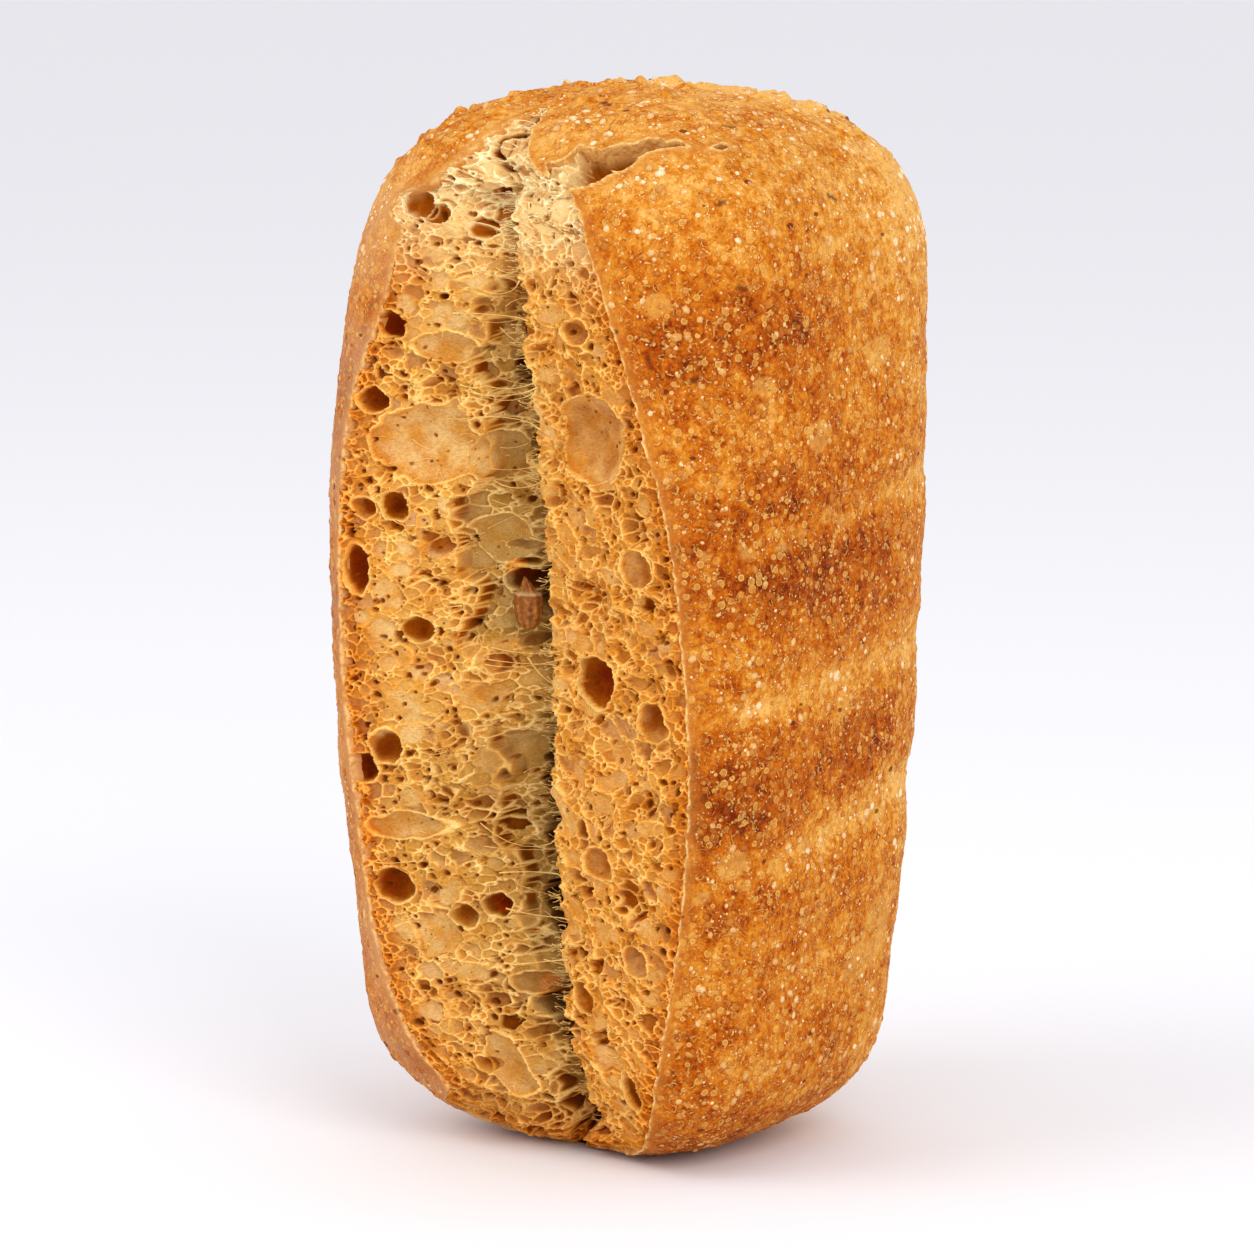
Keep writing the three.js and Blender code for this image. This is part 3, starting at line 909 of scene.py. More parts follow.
@dataclass
class CrownTear:
    """The tear across the crown: its outline on the skin, and the hollow crumb under it."""

    form: LoafForm
    # Angle and way of each corner of the tear and of the slit beyond it
    outline: Table = (
        (21.8, 0.853), (27.0, 0.860), (31.8, 0.867), (35.5, 0.876), (38.0, 0.881), (43.8, 0.884),
        (48.0, 0.886), (46.0, 0.889), (38.2, 0.892), (31.2, 0.888), (25.8, 0.882), (20.2, 0.885),
        (18.2, 0.879), (15.8, 0.874), (11.5, 0.871), (14.0, 0.858),
    )
    slit: Table = ((52.0, 0.885), (56.0, 0.8875), (60.0, 0.883), (56.0, 0.882))
    mm_per_degree: float = 0.79
    mm_per_way: float = 310.0
    step: float = 0.35
    reach: float = 3.0
    least_depth: float = 0.7
    depth: float = 6.0
    # Bump width and height of the ragged edge, of the cells' warp and of the grain
    ragged: Pair = (1.9, 0.45)
    warp: Pair = (2.0, 0.5)
    grain: Pair = (1.1, 0.3)
    cell: Pair = (2.4, 1.3)
    cell_seed: int = 3
    cavity: Pair = (13.0, 19.0)
    noise: Lattice = field(default_factory=lambda: Lattice(31))

    def flat(self, angle: Array, way: Array) -> Array:
        """Flat places in millimetres near the crown."""
        return np.stack([angle * self.mm_per_degree, way * self.mm_per_way], -1)

    def inside(self, angle: Array, way: Array) -> Array:
        """How far places on the skin lie inside the tear or the slit, in millimetres.

        Args:
            angle: degrees from the front.
            way: ways along the skin.

        Returns:
            Signed distances, over 0 inside.
        """
        angle = (angle + 180) % 360 - 180
        spots = self.flat(angle, way)
        width, sway = self.ragged
        place = np.concatenate([spots, np.zeros((*spots.shape[:-1], 1))], -1)
        spots = spots + sway * np.stack([self.noise.layers(place + n, width, 2) for n in (0, 40)], -1)
        shapes = (self.flat(*np.array(corners).T) for corners in (self.outline, self.slit))
        return np.maximum(*(distance_into(shape, spots) for shape in shapes))

    def build(self, material: Material) -> None:
        """Make the hollow's floor, which dips under the crust all round.

        Args:
            material: the crumb's material.
        """
        corners = self.flat(*np.array(self.outline + self.slit).T)
        low = corners.min(0) - self.reach
        high = corners.max(0) + self.reach
        x, y = np.meshgrid(np.arange(low[0], high[0], self.step), np.arange(low[1], high[1], self.step))
        angle, way = x / self.mm_per_degree, y / self.mm_per_way
        inside = self.inside(angle, way)
        spots = np.stack([x, y, np.zeros_like(x)], -1)
        width, sway = self.warp
        warp = np.stack([self.noise.layers(spots + n, width, 2) for n in (60, 90)], -1)
        width, height = self.cell
        nearest, second = worley(spots[..., :2] + sway * warp, width, self.cell_seed)
        gap = second - nearest
        cells = height * (1 - (1 - np.clip(gap / (0.7 * width), 0, 1)) ** 2)
        far = ease(*self.cavity, x)
        sink = self.least_depth + self.depth * ease(-1.8, 2.0, inside) * far
        sink = sink + cells * (1 - 0.85 * far) + self.grain[1] * self.noise.at(spots + 20, self.grain[0])
        skin = self.form.skin(angle, way)
        inward = -unit(np.cross(np.gradient(skin, axis=1), np.gradient(skin, axis=0)))
        points = (skin + inward * sink[..., None]).reshape(-1, 3)
        number = np.arange(x.size).reshape(x.shape)
        faces = np.stack(corner_grids(number), -1).reshape(-1, 4)
        faces = faces[(inside.ravel()[faces] > -self.reach * 0.7).all(1)]
        normals = point_normals(points, faces)
        # The sink and crack values paint shade deeper into the cavity under the crust
        values = {
            "sink": np.clip(sink - 0.9, 0, 12).ravel() * 0.45,
            "lip": np.full(x.size, 0.3),
            "crack": (0.3 - 0.1 * far).ravel(),
            "rim": (0.8 * bell(gap, 0.25) * (1 - far)).ravel(),
            "tint": np.full(x.size, 0.6),
            "cream": (1 - 0.8 * far).ravel(),
        }
        uv = np.stack([x, y], -1).reshape(-1, 2)[faces]
        patch = Patch("crown_tear", points, faces, values, uv, normals)
        patch = kept_part(patch, patch.name, slice(None))
        add_piece(patch.name, new_mesh(patch, material))


@dataclass
class Crust:
    """The browned skin from lip to lip round the back, with the crown and the foot."""

    form: LoafForm
    tear: CrownTear
    fine_step: float = 0.52
    coarse_step: float = 0.95
    row_step: float = 0.58
    way_range: Pair = (0.02, 0.996)
    fine_to_angle: float = 140.0
    wave: Pair = (26.0, 0.5)
    dimple: Pair = (7.0, 0.3)
    grain: Pair = (1.7, 0.14)
    crags: Pair = (2.4, 1.3)
    crags_over: Pair = (180.0, 196.0)
    lip_curl: float = 0.3
    lip_reach: float = 3.0
    lip_tear: Pair = (2.6, 0.6)
    lip_fray: Pair = (1.1, 0.4)
    hang_reach: float = 1.5
    torn_over: float = 0.03
    # Distances far from any edge, and the way above which the crown's tear lies
    far: float = 9.0
    shut_reach: float = 60.0
    tear_above: float = 0.8
    # Width of the pale rim, and the angles and share by which it fades at the left lip
    rim_width: float = 0.3
    rim_fades: Three = (280, 300, 0.6)
    # Reach and strength of the worn band by the lips
    bevel: Pair = (2.2, 0.5)
    outline_share: float = 0.5
    # Browning: level, width and swing of patches, and height, half width and gain of bands
    toast_level: float = 0.56
    toast_patches: Pair = (20.0, 0.17)
    toast_bands: Table = ((118.0, 17.0, 0.16), (76.0, 8.0, 0.15), (160.0, 10.0, 0.08))
    band_rise: float = 0.12
    band_angle: float = 70.0
    # Painted light: paler crown, by height, and paler right edge, by angle, where the lamps fall
    crown_painted_light: Three = (150, 198, 0.33)
    edge_light_begins: Pair = (95, 120)
    edge_light_ends: Pair = (190, 260)
    edge_painted_light: float = 0.24
    pale_crease: float = 0.3
    # Width, swing and level of the patches of beads and of dust, then where the dust lies
    bead_patches: Three = (9.0, 0.6, 0.75)
    dust_patches: Three = (12.0, 0.55, 0.7)
    dust_most: float = 0.95
    dust_angles: Pair = (262, 312)
    dust_heights: Pair = (176, 192)
    lip_steps: tuple[float, ...] = (0.0, 0.1, 0.2, 0.34)
    edge_pull: float = 1.3
    tear_steps: tuple[float, ...] = (0.3, 0.9, 2.0, 3.4)
    tear_shine: tuple[float, ...] = (0.95, 0.75, 0.6, 0.45)
    # Height of the point that the tear's edge turns in to, and above which it is looked for
    skirt_core: float = 150.0
    rim_steps: tuple[float, ...] = (0.3, 0.8, 1.6, 2.6)
    rim_shine: tuple[float, ...] = (0.9, 0.5, 0.2, 0.0)
    # Angle, way and radius of the patches of golden film
    films: Table = (
        (80.6, 0.813, 3.4), (100.0, 0.729, 4.2), (39.4, 0.777, 2.2), (77.8, 0.673, 3.0), (110.9, 0.28, 5.0),
        (112.0, 0.262, 4.0), (104.0, 0.245, 4.5), (62.0, 0.715, 2.0), (90.0, 0.46, 2.6), (56.0, 0.35, 2.4),
    )
    film_seed: int = 19
    film_flatten: float = 1.25
    film_ragged: Pair = (3.2, 1.6)
    film_edge: Pair = (0.5, 0.3)
    # Angles, jitter, wander and radii of the film along a crease
    film_angles: Three = (50.0, 116.0, 6.0)
    film_jitter: float = 2.5
    film_wander: float = 1.2
    film_radii: Pair = (0.3, 1.4)
    # Ends, as angle and way, of the dark creases and bran flakes
    marks: Table = (
        (68.4, 0.762, 73.8, 0.749), (46.6, 0.722, 47.8, 0.725), (51.6, 0.845, 52.8, 0.847),
        (55.0, 0.79, 56.5, 0.788), (38.4, 0.742, 38.8, 0.73), (84.0, 0.846, 86.5, 0.843),
        (20.0, 0.935, 24.0, 0.93), (60.0, 0.905, 64.0, 0.9), (101.0, 0.42, 102.0, 0.414),
    )
    mark_half: float = 0.45
    mark_ragged: Pair = (1.4, 0.35)
    noise: Lattice = field(default_factory=lambda: Lattice(7))

    def columns(self) -> Array:
        """Shares from the right lip round to the left lip, close together where the tin side shows.

        Returns:
            One share for each column.
        """
        way = np.full(1441, 0.5)
        left, right = self.form.lips(way[:1])
        share = np.linspace(0, 1, len(way))
        angle = right + (360 + left - right) * share
        run = run_along(self.form.skin(angle, way))
        edge = np.interp(self.fine_to_angle, angle, run)
        fine = np.linspace(0, edge, int(edge / self.fine_step) + 1)
        coarse = np.linspace(edge, run[-1], int((run[-1] - edge) / self.coarse_step) + 1)
        close = np.array(self.lip_steps)
        fine = np.concatenate([close, fine[1:]])
        coarse = np.concatenate([coarse[1:-1], run[-1] - close[::-1]])
        self.fine_columns = len(fine)
        return np.interp(np.concatenate([fine, coarse]), run, share)

    def rows(self) -> Array:
        """Ways along the skin at even steps from the flat spot to near the crown's middle."""
        way = np.linspace(*self.way_range, 4000)
        run = run_along(self.form.skin(np.full_like(way, 90.0), way))
        return np.interp(np.linspace(0, run[-1], int(run[-1] / self.row_step) + 1), run, way)

    def relief(self, points: Array, from_lip: Array) -> Array:
        """How far the skin stands out, in millimetres.

        Args:
            points: places on the smooth skin.
            from_lip: distance to the nearer lip.

        Returns:
            One height for each point.
        """
        out = 0.0
        for n, size in enumerate((self.wave, self.dimple, self.grain)):
            out = out + self.noise.bumps(points + 40 * n, size, 2)
        crown = ease(*self.crags_over, points[..., 2])
        crag = np.clip(self.noise.layers(points + 160, self.crags[0], 2) - 0.15, 0, 1)
        out = out + self.crags[1] * crag * crown * ease(1.0, 5.0, from_lip)
        return out + self.lip_curl * np.exp(-from_lip / self.lip_reach)

    def toast(self, points: Array, angle: Array) -> Array:
        """How brown the skin is, from 0 for pale to 1 for dark, with painted light on the crown and the
        right edge.

        Args:
            points: places on the smooth skin.
            angle: degrees from the front.

        Returns:
            One value for each point.
        """
        height = points[..., 2]
        shade = self.toast_level + self.noise.bumps(points + 120, self.toast_patches, 3)
        for middle, half, more in self.toast_bands:
            away = height - middle - self.band_rise * (angle - self.band_angle)
            shade = shade + more * bell(away, half)
        # Painted light: paler on the crown and on the right edge
        edge = ease(*self.edge_light_begins, angle) * (1 - ease(*self.edge_light_ends, angle))
        low, high, paler = self.crown_painted_light
        shade = shade - paler * ease(low, high, height) - self.edge_painted_light * edge
        return shade - self.pale_crease * self.form.crease_sink(angle, height)

    def blister_share(self, points: Array, from_lip: Array) -> Array:
        """How thick the beads lie, with none by the lips or under the foot."""
        width, swing, level = self.bead_patches
        patchy = np.clip(level + swing * self.noise.layers(points + 300, width, 2), 0.1, 1.4)
        return patchy * ease(0.8, 3.0, from_lip) * ease(0.4, 4.0, points[..., 2])

    def dust(self, points: Array, angle: Array) -> Array:
        """How dusty and pale the skin is, most on the strip left of the burst."""
        width, swing, level = self.dust_patches
        patchy = np.clip(level + swing * self.noise.layers(points + 330, width, 3), 0, self.dust_most)
        strip = patchy * ease(*self.dust_angles, angle)
        return strip * (1 - ease(*self.dust_heights, points[..., 2]))

    def film_spots(self) -> list[Three]:
        """Angle, way and radius of every patch of film: those listed and a row along each crease.

        Returns:
            One row for each patch.
        """
        draw = np.random.default_rng(self.film_seed)
        spots = list(self.films)
        foot, crown = self.form.foot_ends_at, self.form.crown_starts_at
        span = self.form.length - self.form.foot_height - self.form.crown_height
        angles = np.arange(*self.film_angles)
        for front, rise, _, _ in self.form.creases:
            for angle in angles + draw.uniform(-self.film_jitter, self.film_jitter, len(angles)):
                height = front + rise * angle + draw.normal(0, self.film_wander)
                way = foot + (height - self.form.foot_height) / span * (crown - foot)
                spots.append((angle, way, draw.uniform(*self.film_radii)))
        return spots

    def film(self, points: Array) -> tuple[Array, Array]:
        """Where golden film lies on the skin, and where its pale outline runs.

        Args:
            points: places on the smooth skin.

        Returns:
            Two values for each point, from 0 to 1.
        """
        ragged = self.noise.bumps(points + 240, self.film_ragged, 3)
        flatten = np.array([1, 1, self.film_flatten])
        inner, outer = self.film_edge
        film = np.zeros(points.shape[:-1])
        outline = np.zeros(points.shape[:-1])
        for angle, way, radius in self.film_spots():
            middle = self.form.skin(np.array(angle), np.array(way))
            away = np.linalg.norm((points - middle) * flatten, axis=-1) + ragged
            film = np.maximum(film, 1 - ease(radius - inner, radius + outer, away))
            outline = np.maximum(outline, bell(away - radius, outer))
        return film, outline

    def mark(self, points: Array) -> Array:
        """Where dark creases and bran flakes lie on the skin.

        Args:
            points: places on the smooth skin.

        Returns:
            One value for each point, from 0 to 1.
        """
        ragged = self.noise.bumps(points + 280, self.mark_ragged, 2)
        nearest = np.full(points.shape[:-1], self.far)
        for row in self.marks:
            start, end = self.form.skin(np.array(row[0::2]), np.array(row[1::2]))
            side = end - start
            share = np.clip((points - start) @ side / (side @ side), 0, 1)
            away = np.linalg.norm(points - start - share[..., None] * side, axis=-1)
            nearest = np.minimum(nearest, away)
        return 1 - ease(0.4 * self.mark_half, 1.4 * self.mark_half, nearest + ragged)

    def frayed(self, smooth: Array, way: Array) -> Array:
        """How far the torn edge stands back from the lip, more by the crown."""
        tear = np.abs(self.noise.bumps(smooth + 200, self.lip_tear, 3)) * (1 + ease(0.78, 0.84, way))
        return tear + np.abs(self.noise.bumps(smooth + 260, self.lip_fray, 2))

    def build(self, material: Material) -> list[Piece]:
        """Make the crust's pieces.

        Args:
            material: the crust's material.

        Returns:
            The tin side and the back, as objects.
        """
        u, way = np.meshgrid(self.columns(), self.rows())
        left, right = self.form.lips(way)
        angle = right + (360 + left - right) * u
        smooth = self.form.skin(angle, way)
        run = np.linalg.norm(np.diff(smooth, axis=1), axis=2)
        from_right = np.concatenate([np.zeros((len(run), 1)), np.cumsum(run, 1)], 1)
        from_left = from_right[:, -1:] - from_right
        from_side = np.minimum(from_right, from_left)
        first, last, over = self.form.burst[0][0], self.form.burst[-1][0], self.torn_over
        torn = ease(first, first + over, way) * (1 - ease(last - over, last, way))
        inside = np.full(way.shape, -self.far)
        near = way[:, 0] > self.tear_above
        inside[near] = self.tear.inside(angle[near], way[near])
        from_tear = np.maximum(-inside, 0) + self.far * ~near[:, None]
        from_lip = np.minimum(from_side + (1 - torn) ** 4 * self.shut_reach, from_tear)
        normals = unit(np.cross(np.gradient(smooth, axis=1), np.gradient(smooth, axis=0)))
        points = smooth + normals * self.relief(smooth, from_lip)[..., None]
        along = unit(np.gradient(smooth, axis=1))
        side = np.where(from_right < from_left, 1.0, -1.0)
        hang = -self.frayed(smooth, way) * torn * np.exp(-from_side / self.hang_reach)
        points = points + along * (side * hang)[..., None]
        points[..., 2] = np.where(smooth[..., 2] <= 0.02, 0.0, np.maximum(points[..., 2], 0.0))
        points = self.on_outline(points, along, inside)
        film, outline = self.film(smooth)
        fade_from, fade_to, fade = self.rim_fades
        rim = bell(from_lip, self.rim_width)
        reach, worn = self.bevel
        layers = {
            "toast": self.toast(smooth, angle),
            "rim": rim * (1 - fade * ease(fade_from, fade_to, angle)),
            "film": film,
            "mark": self.mark(smooth),
            "dust": self.dust(smooth, angle),
            "pale": self.outline_share * outline,
            "bevel": worn * bell(from_lip, reach),
            "blister": self.blister_share(smooth, from_lip),
            "inside": inside,
        }
        points, layers = self.with_rims(points, normals, layers, torn)
        patch = self.closed(points, layers, torn[:, 0] <= 0)
        cut = patch.values.pop("inside")
        patch = self.skirted(kept_part(patch, "crust", (cut[patch.faces] < 0.0).any(1)))
        patch.normals = point_normals(patch.points, patch.faces)
        edge_u = (self.fine_columns + len(self.rim_steps)) / points.shape[1]
        fine = patch.corner_uv[..., 0].mean(1) < edge_u
        pieces = []
        for name, keep in (("crust_tin_side", fine), ("crust_back", ~fine)):
            part = kept_part(patch, name, keep)
            pieces.append(add_piece(name, new_mesh(part, material)))
        return pieces

    def on_outline(self, points: Array, along: Array, inside: Array) -> Array:
        """Draw the points just inside the crown's tear back to its outline, which makes its edge smooth.

        Args:
            points: the skin's grid.
            along: directions of its rows.
            inside: how far each point lies inside the tear.

        Returns:
            The grid with the points near the edge moved.
        """
        across = np.linalg.norm(np.gradient(points, axis=1), axis=-1)
        rise = np.gradient(points, axis=0)
        up = np.linalg.norm(rise, axis=-1)
        slope_across = np.gradient(inside, axis=1) / np.maximum(across, 1e-6)
        slope_up = np.gradient(inside, axis=0) / np.maximum(up, 1e-6)
        way = unit(along * slope_across[..., None] + unit(rise) * slope_up[..., None])
        back = np.where((inside > 0) & (inside < self.edge_pull), inside, 0.0)
        return points - way * back[..., None]

    @staticmethod
    def beside(grid: Array, strip: Array, lip: Lip) -> Array:
        """A grid with a strip of columns added at one lip."""
        return np.concatenate([grid, strip] if lip is Lip.LEFT else [strip, grid], 1)

    def with_rims(self, points: Array, normals: Array, layers: Values, torn: Array) -> tuple[Array, Values]:
        """Add the columns that turn inwards at each lip.

        Args:
            points: the skin's grid.
            normals: its normals.
            layers: its value grids.
            torn: 1 where the burst is open.

        Returns:
            The wider grid and value grids.
        """
        count = len(self.rim_steps)
        for lip in Lip:
            column = lip.value
            order = slice(None) if lip is Lip.LEFT else slice(None, None, -1)
            gone = torn[:, column, None]
            under = [points[:, column] - normals[:, column] * d * gone for d in self.rim_steps]
            points = self.beside(points, np.stack(under[order], 1), lip)
            normals = self.beside(normals, np.repeat(normals[:, column, None], count, 1), lip)
            for name, grid in layers.items():
                strip = np.repeat(grid[:, column, None], count, 1)
                if name == "rim":
                    strip = gone * np.array(self.rim_shine[order])
                layers[name] = self.beside(grid, strip, lip)
            torn = self.beside(torn, np.repeat(gone, count, 1), lip)
        return points, layers

    def closed(self, points: Array, layers: Values, shut: Array) -> Patch:
        """Triangles of the grid, welded where the lips meet and capped at the foot and the crown.

        Args:
            points: the grid with its rims.
            layers: its value grids.
            shut: true for each row where the lips meet.

        Returns:
            The crust as one patch.
        """
        rows, wide = points.shape[:2]
        rim = len(self.rim_steps)
        number = np.arange(rows * wide).reshape(rows, wide)
        number[shut, :rim] = number[shut, rim][:, None]
        number[shut, -rim - 1:] = number[shut, rim][:, None]
        uv = np.stack(np.meshgrid(np.arange(wide) / wide, np.arange(1, rows + 1) / (rows + 2)), -1)
        spots, spot_uv = corner_grids(number), corner_grids(uv)
        faces = []
        face_uv = []
        for corners in ((0, 1, 2), (0, 2, 3)):
            faces.append(np.stack([spots[n] for n in corners], -1).reshape(-1, 3))
            face_uv.append(np.stack([spot_uv[n] for n in corners], -2).reshape(-1, 3, 2))
        flat = points.reshape(-1, 3)
        for row, end_v in ((0, 0.0), (rows - 1, 1.0)):
            ring = np.arange(rim, wide - rim - 1)
            middle = points[row, rim:wide - rim].mean(0)
            pole = len(flat)
            flat = np.concatenate([flat, middle[None]])
            ends = [number[row, ring], number[row, ring + 1]]
            end_uv = [uv[row, ring], uv[row, ring + 1]]
            if row == 0:
                ends.reverse()
                end_uv.reverse()
            pole_uv = np.stack([uv[row, ring, 0], np.full(len(ring), end_v)], -1)
            faces.append(np.stack([np.full(len(ring), pole), *ends], -1))
            face_uv.append(np.stack([pole_uv, *end_uv], 1))
        values = {key: np.concatenate([grid.ravel(), grid[[0, -1], rim]]) for key, grid in layers.items()}
        patch = Patch("crust", flat, np.concatenate(faces), values, np.concatenate(face_uv))
        return kept_part(patch, patch.name, whole_faces(patch.faces))

    def skirted(self, patch: Patch) -> Patch:
        """Turn the cut edges of the crown's tear inwards, as thick as the crust.

        Args:
            patch: the crust with the tear cut out.

        Returns:
            The crust with its torn edge.
        """
        sides = np.concatenate([patch.faces[:, [n, (n + 1) % 3]] for n in range(3)])
        total = len(patch.points)
        forward = sides[:, 0] * total + sides[:, 1]
        back = sides[:, 1] * total + sides[:, 0]
        lone = sides[~np.isin(forward, back)]
        crown = patch.points[lone[:, 0], 2] > self.skirt_core
        lone = lone[crown & (patch.values["rim"][lone[:, 0]] > 0.2)]
        used, place = np.unique(lone, return_inverse=True)
        place = place.reshape(lone.shape)
        core = self.form.offset + np.array([0.0, 0.0, self.skirt_core])
        inward = unit(core - patch.points[used])
        points = [patch.points]
        faces = [patch.faces]
        for n, depth in enumerate(self.tear_steps):
            points.append(patch.points[used] + inward * depth)
            below = total + n * len(used) + place
            above = lone if n == 0 else below - len(used)
            faces.append(np.stack([above[:, 1], above[:, 0], below[:, 0]], -1))
            faces.append(np.stack([above[:, 1], below[:, 0], below[:, 1]], -1))
        values = {}
        for key, value in patch.values.items():
            strips = [value[used]] * len(self.tear_steps)
            if key == "rim":
                strips = [np.full(len(used), shine) for shine in self.tear_shine]
            values[key] = np.concatenate([value] + strips)
        faces = np.concatenate(faces)
        uv = np.zeros((len(points[0]), 2))
        uv[patch.faces.ravel()] = patch.corner_uv.reshape(-1, 2)
        extra = np.concatenate([uv] + [uv[used]] * len(self.tear_steps))[faces[len(patch.faces):]]
        corner_uv = np.concatenate([patch.corner_uv, extra])
        return Patch(patch.name, np.concatenate(points), faces, values, corner_uv)


@dataclass
class Crumb:
    """The torn crumb of the burst: gas cells torn open at many sizes, and the crack between its halves.

    The face is laid out flat, as millimetres across from the crack and up from the burst's foot.
    """

    form: LoafForm
    step: float = 0.18
    half_across: float = 46.0
    way_range: Pair = (0.056, 0.925)
    # Bump width and height of the torn face
    rough: Table = ((7.5, 0.7), (2.6, 0.25))
    wrinkles: Pair = (0.8, 0.09)
    # Bump width of the cells' ragged outlines, and their sway across and up
    warp: Three = (2.4, 0.45, 0.35)
    # Middle and reach, across, of the cells drawn out by the tear
    drawn_out: Pair = (-3.0, 9.0)
    floor_bumps: Pair = (3.4, 0.5)
    # Hollows left of the crack: share of the left half, wave of their edge, least and most depth
    hollow_share: Pair = (0.17, 0.18)
    hollow_wave: Pair = (6.5, 3.4)
    hollow_depth: Pair = (0.6, 5.2)
    # Height share and half length of the part with the widest hollows
    hollow_middle: Pair = (0.55, 0.16)
    # Way, half length along the way and half width of each place where the crack gapes
    gapes: Table = (
        (0.712, 0.022, 1.5), (0.655, 0.012, 1.1), (0.535, 0.022, 2.2), (0.47, 0.012, 0.9),
        (0.4, 0.03, 1.1), (0.35, 0.03, 1.6), (0.29, 0.035, 2.0), (0.213, 0.026, 1.9),
        (0.155, 0.012, 1.1), (0.095, 0.022, 1.6),
    )
    crack_depth: float = 9.0
    # Bump width and sway of the crack's line
    crack_sway: Pair = (16.0, 1.0)
    # Way, depth and reach of the step down from the right half to the left along the crack, which also set
    # the painted shade beside it
    undercut: Table = (
        (0.055, 2.0, 4.0), (0.12, 2.6, 5.0), (0.2, 2.8, 6.0), (0.3, 4.4, 9.0), (0.4, 4.0, 9.0),
        (0.47, 2.4, 4.5), (0.53, 3.6, 4.5), (0.6, 1.8, 4.0), (0.66, 2.2, 4.5), (0.72, 2.8, 4.5),
        (0.79, 1.6, 4.0), (0.84, 0.6, 3.0), (0.88, 0.2, 3.0),
    )
    wall: float = 0.17
    wall_power: float = 4.5
    # Power of the draw of radii, room that a cell needs in radii, and how far it keeps from the lips
    size_power: float = 1.4
    room_share: float = 0.7
    edge_room: Pair = (0.5, 0.34)
    vary_size: float = 0.16
    vary_turn: float = 0.35
    right_stretch: float = 1.3
    right_pale: float = 0.4
    # Painted shade that darkens the floors on the right half
    right_half_shade: float = 0.16
    toast_reach: float = 7.5
    toast_least: float = 0.42
    # Toast at the foot, partly painted shade near the floor
    foot_toast_and_shade: float = 0.45
    # Across, way and radius of spots toasted deep in the crack
    warm_spots: Table = ((-6.6, 0.556, 2.6), (-4.0, 0.232, 3.0), (-10.0, 0.294, 2.6))
    # Smallest and largest radius and tries of the shallow dishes, then of the cups in and between them
    dishes: tuple[tuple[float, float, int], ...] = ((2.4, 3.6, 260), (1.7, 2.4, 1200))
    cups: tuple[tuple[float, float, int], ...] = ((1.1, 1.7, 900), (0.7, 1.1, 8000), (0.36, 0.7, 70000))
    deep_cups: float = 0.06
    smooth_dishes: float = 0.36
    crest: float = 0.35
    # Bump width and sway of the large cells' outlines
    large_sway: Pair = (6.0, 0.22)
    pits: int = 2600
    pit_radius: Pair = (0.2, 0.75)
    pit_power: float = 2.2
    # Height shares over which the foot's toast, partly painted shade near the floor, and its scorch end and
    # the crown's cream begins
    foot_toast_over: Pair = (0.08, 0.4)
    foot_scorch_over: Pair = (0.03, 0.13)
    cream_over: Pair = (0.79, 0.9)
    # Depth of the border that lies under the crust, and share of the sink square to the face
    under_crust: float = 1.4
    inward_share: float = 0.45
    deepest: float = 12.0
    off_floor: float = 0.05
    bands: int = 5
    seed: int = 23
    # Across from the crack, way along the skin, half width, half height, depth, paleness of the floor
    # (which also lessens its painted depth shade)
    large: Table = (
        (-19.6, 0.657, 10.8, 7.6, 4.5, 1), (-7, 0.647, 5, 5.5, 4, 1), (19, 0.673, 9, 9.5, 4.6, 0.65),
        (15.8, 0.482, 6, 4.8, 4.4, -0.35), (-23, 0.751, 2.8, 2.7, 4, 0),
        (-28.5, 0.69, 3.2, 2.6, 3.5, -0.2), (-32.9, 0.556, 2.5, 4.3, 4, 0),
        (-30.9, 0.606, 2.2, 2.1, 2.5, 0), (-24.8, 0.607, 3, 3, 4, 0), (-32, 0.398, 3, 2.9, 4, 0),
        (-22.1, 0.51, 3, 2.9, 3.5, 0), (32.4, 0.458, 4.2, 4.3, 4.2, 0.4),
        (30.4, 0.576, 4.4, 3.6, 3, 0.5), (15.5, 0.338, 4.8, 3.4, 3.5, 0.5), (11.1, 0.362, 2.5, 2, 3, 0),
        (-10.5, 0.294, 2.5, 2.4, 4, 0), (-28.1, 0.307, 3.4, 3.4, 3.5, 0),
        (-15.9, 0.286, 2.5, 2.4, 3, 0), (-5.6, 0.235, 3.9, 2, 5, 1), (-16, 0.838, 3, 2.4, 3, 0),
        (-12, 0.831, 2.5, 2, 3, 0), (-5.3, 0.823, 2.5, 2, 3, 0), (-12.4, 0.164, 4, 6.5, 3, 1),
        (-16.6, 0.164, 2.1, 2, 2.5, 0), (-8.1, 0.58, 5, 5, 2.5, 1), (-1, 0.71, 3, 4, 5, 0),
        (-4.7, 0.548, 4, 2.4, 6, 0), (17.5, 0.752, 3.6, 2.4, 3, 0.5), (-14, 0.733, 6, 2.9, 2.5, 1),
        (23.9, 0.268, 3.8, 3, 3, 0.5), (7.1, 0.23, 3, 3, 3, 0), (-27.4, 0.417, 3.4, 3.4, 3, 0),
        (-23.6, 0.355, 6.8, 2.9, 2.5, 1), (17.0, 0.16, 1.8, 3.4, 3.5, -0.3),
        (-5.2, 0.575, 3.6, 1.1, 3.2, -0.3), (-4.2, 0.562, 2.6, 0.8, 3, -0.3),
    )
    noise: Lattice = field(default_factory=lambda: Lattice(11))

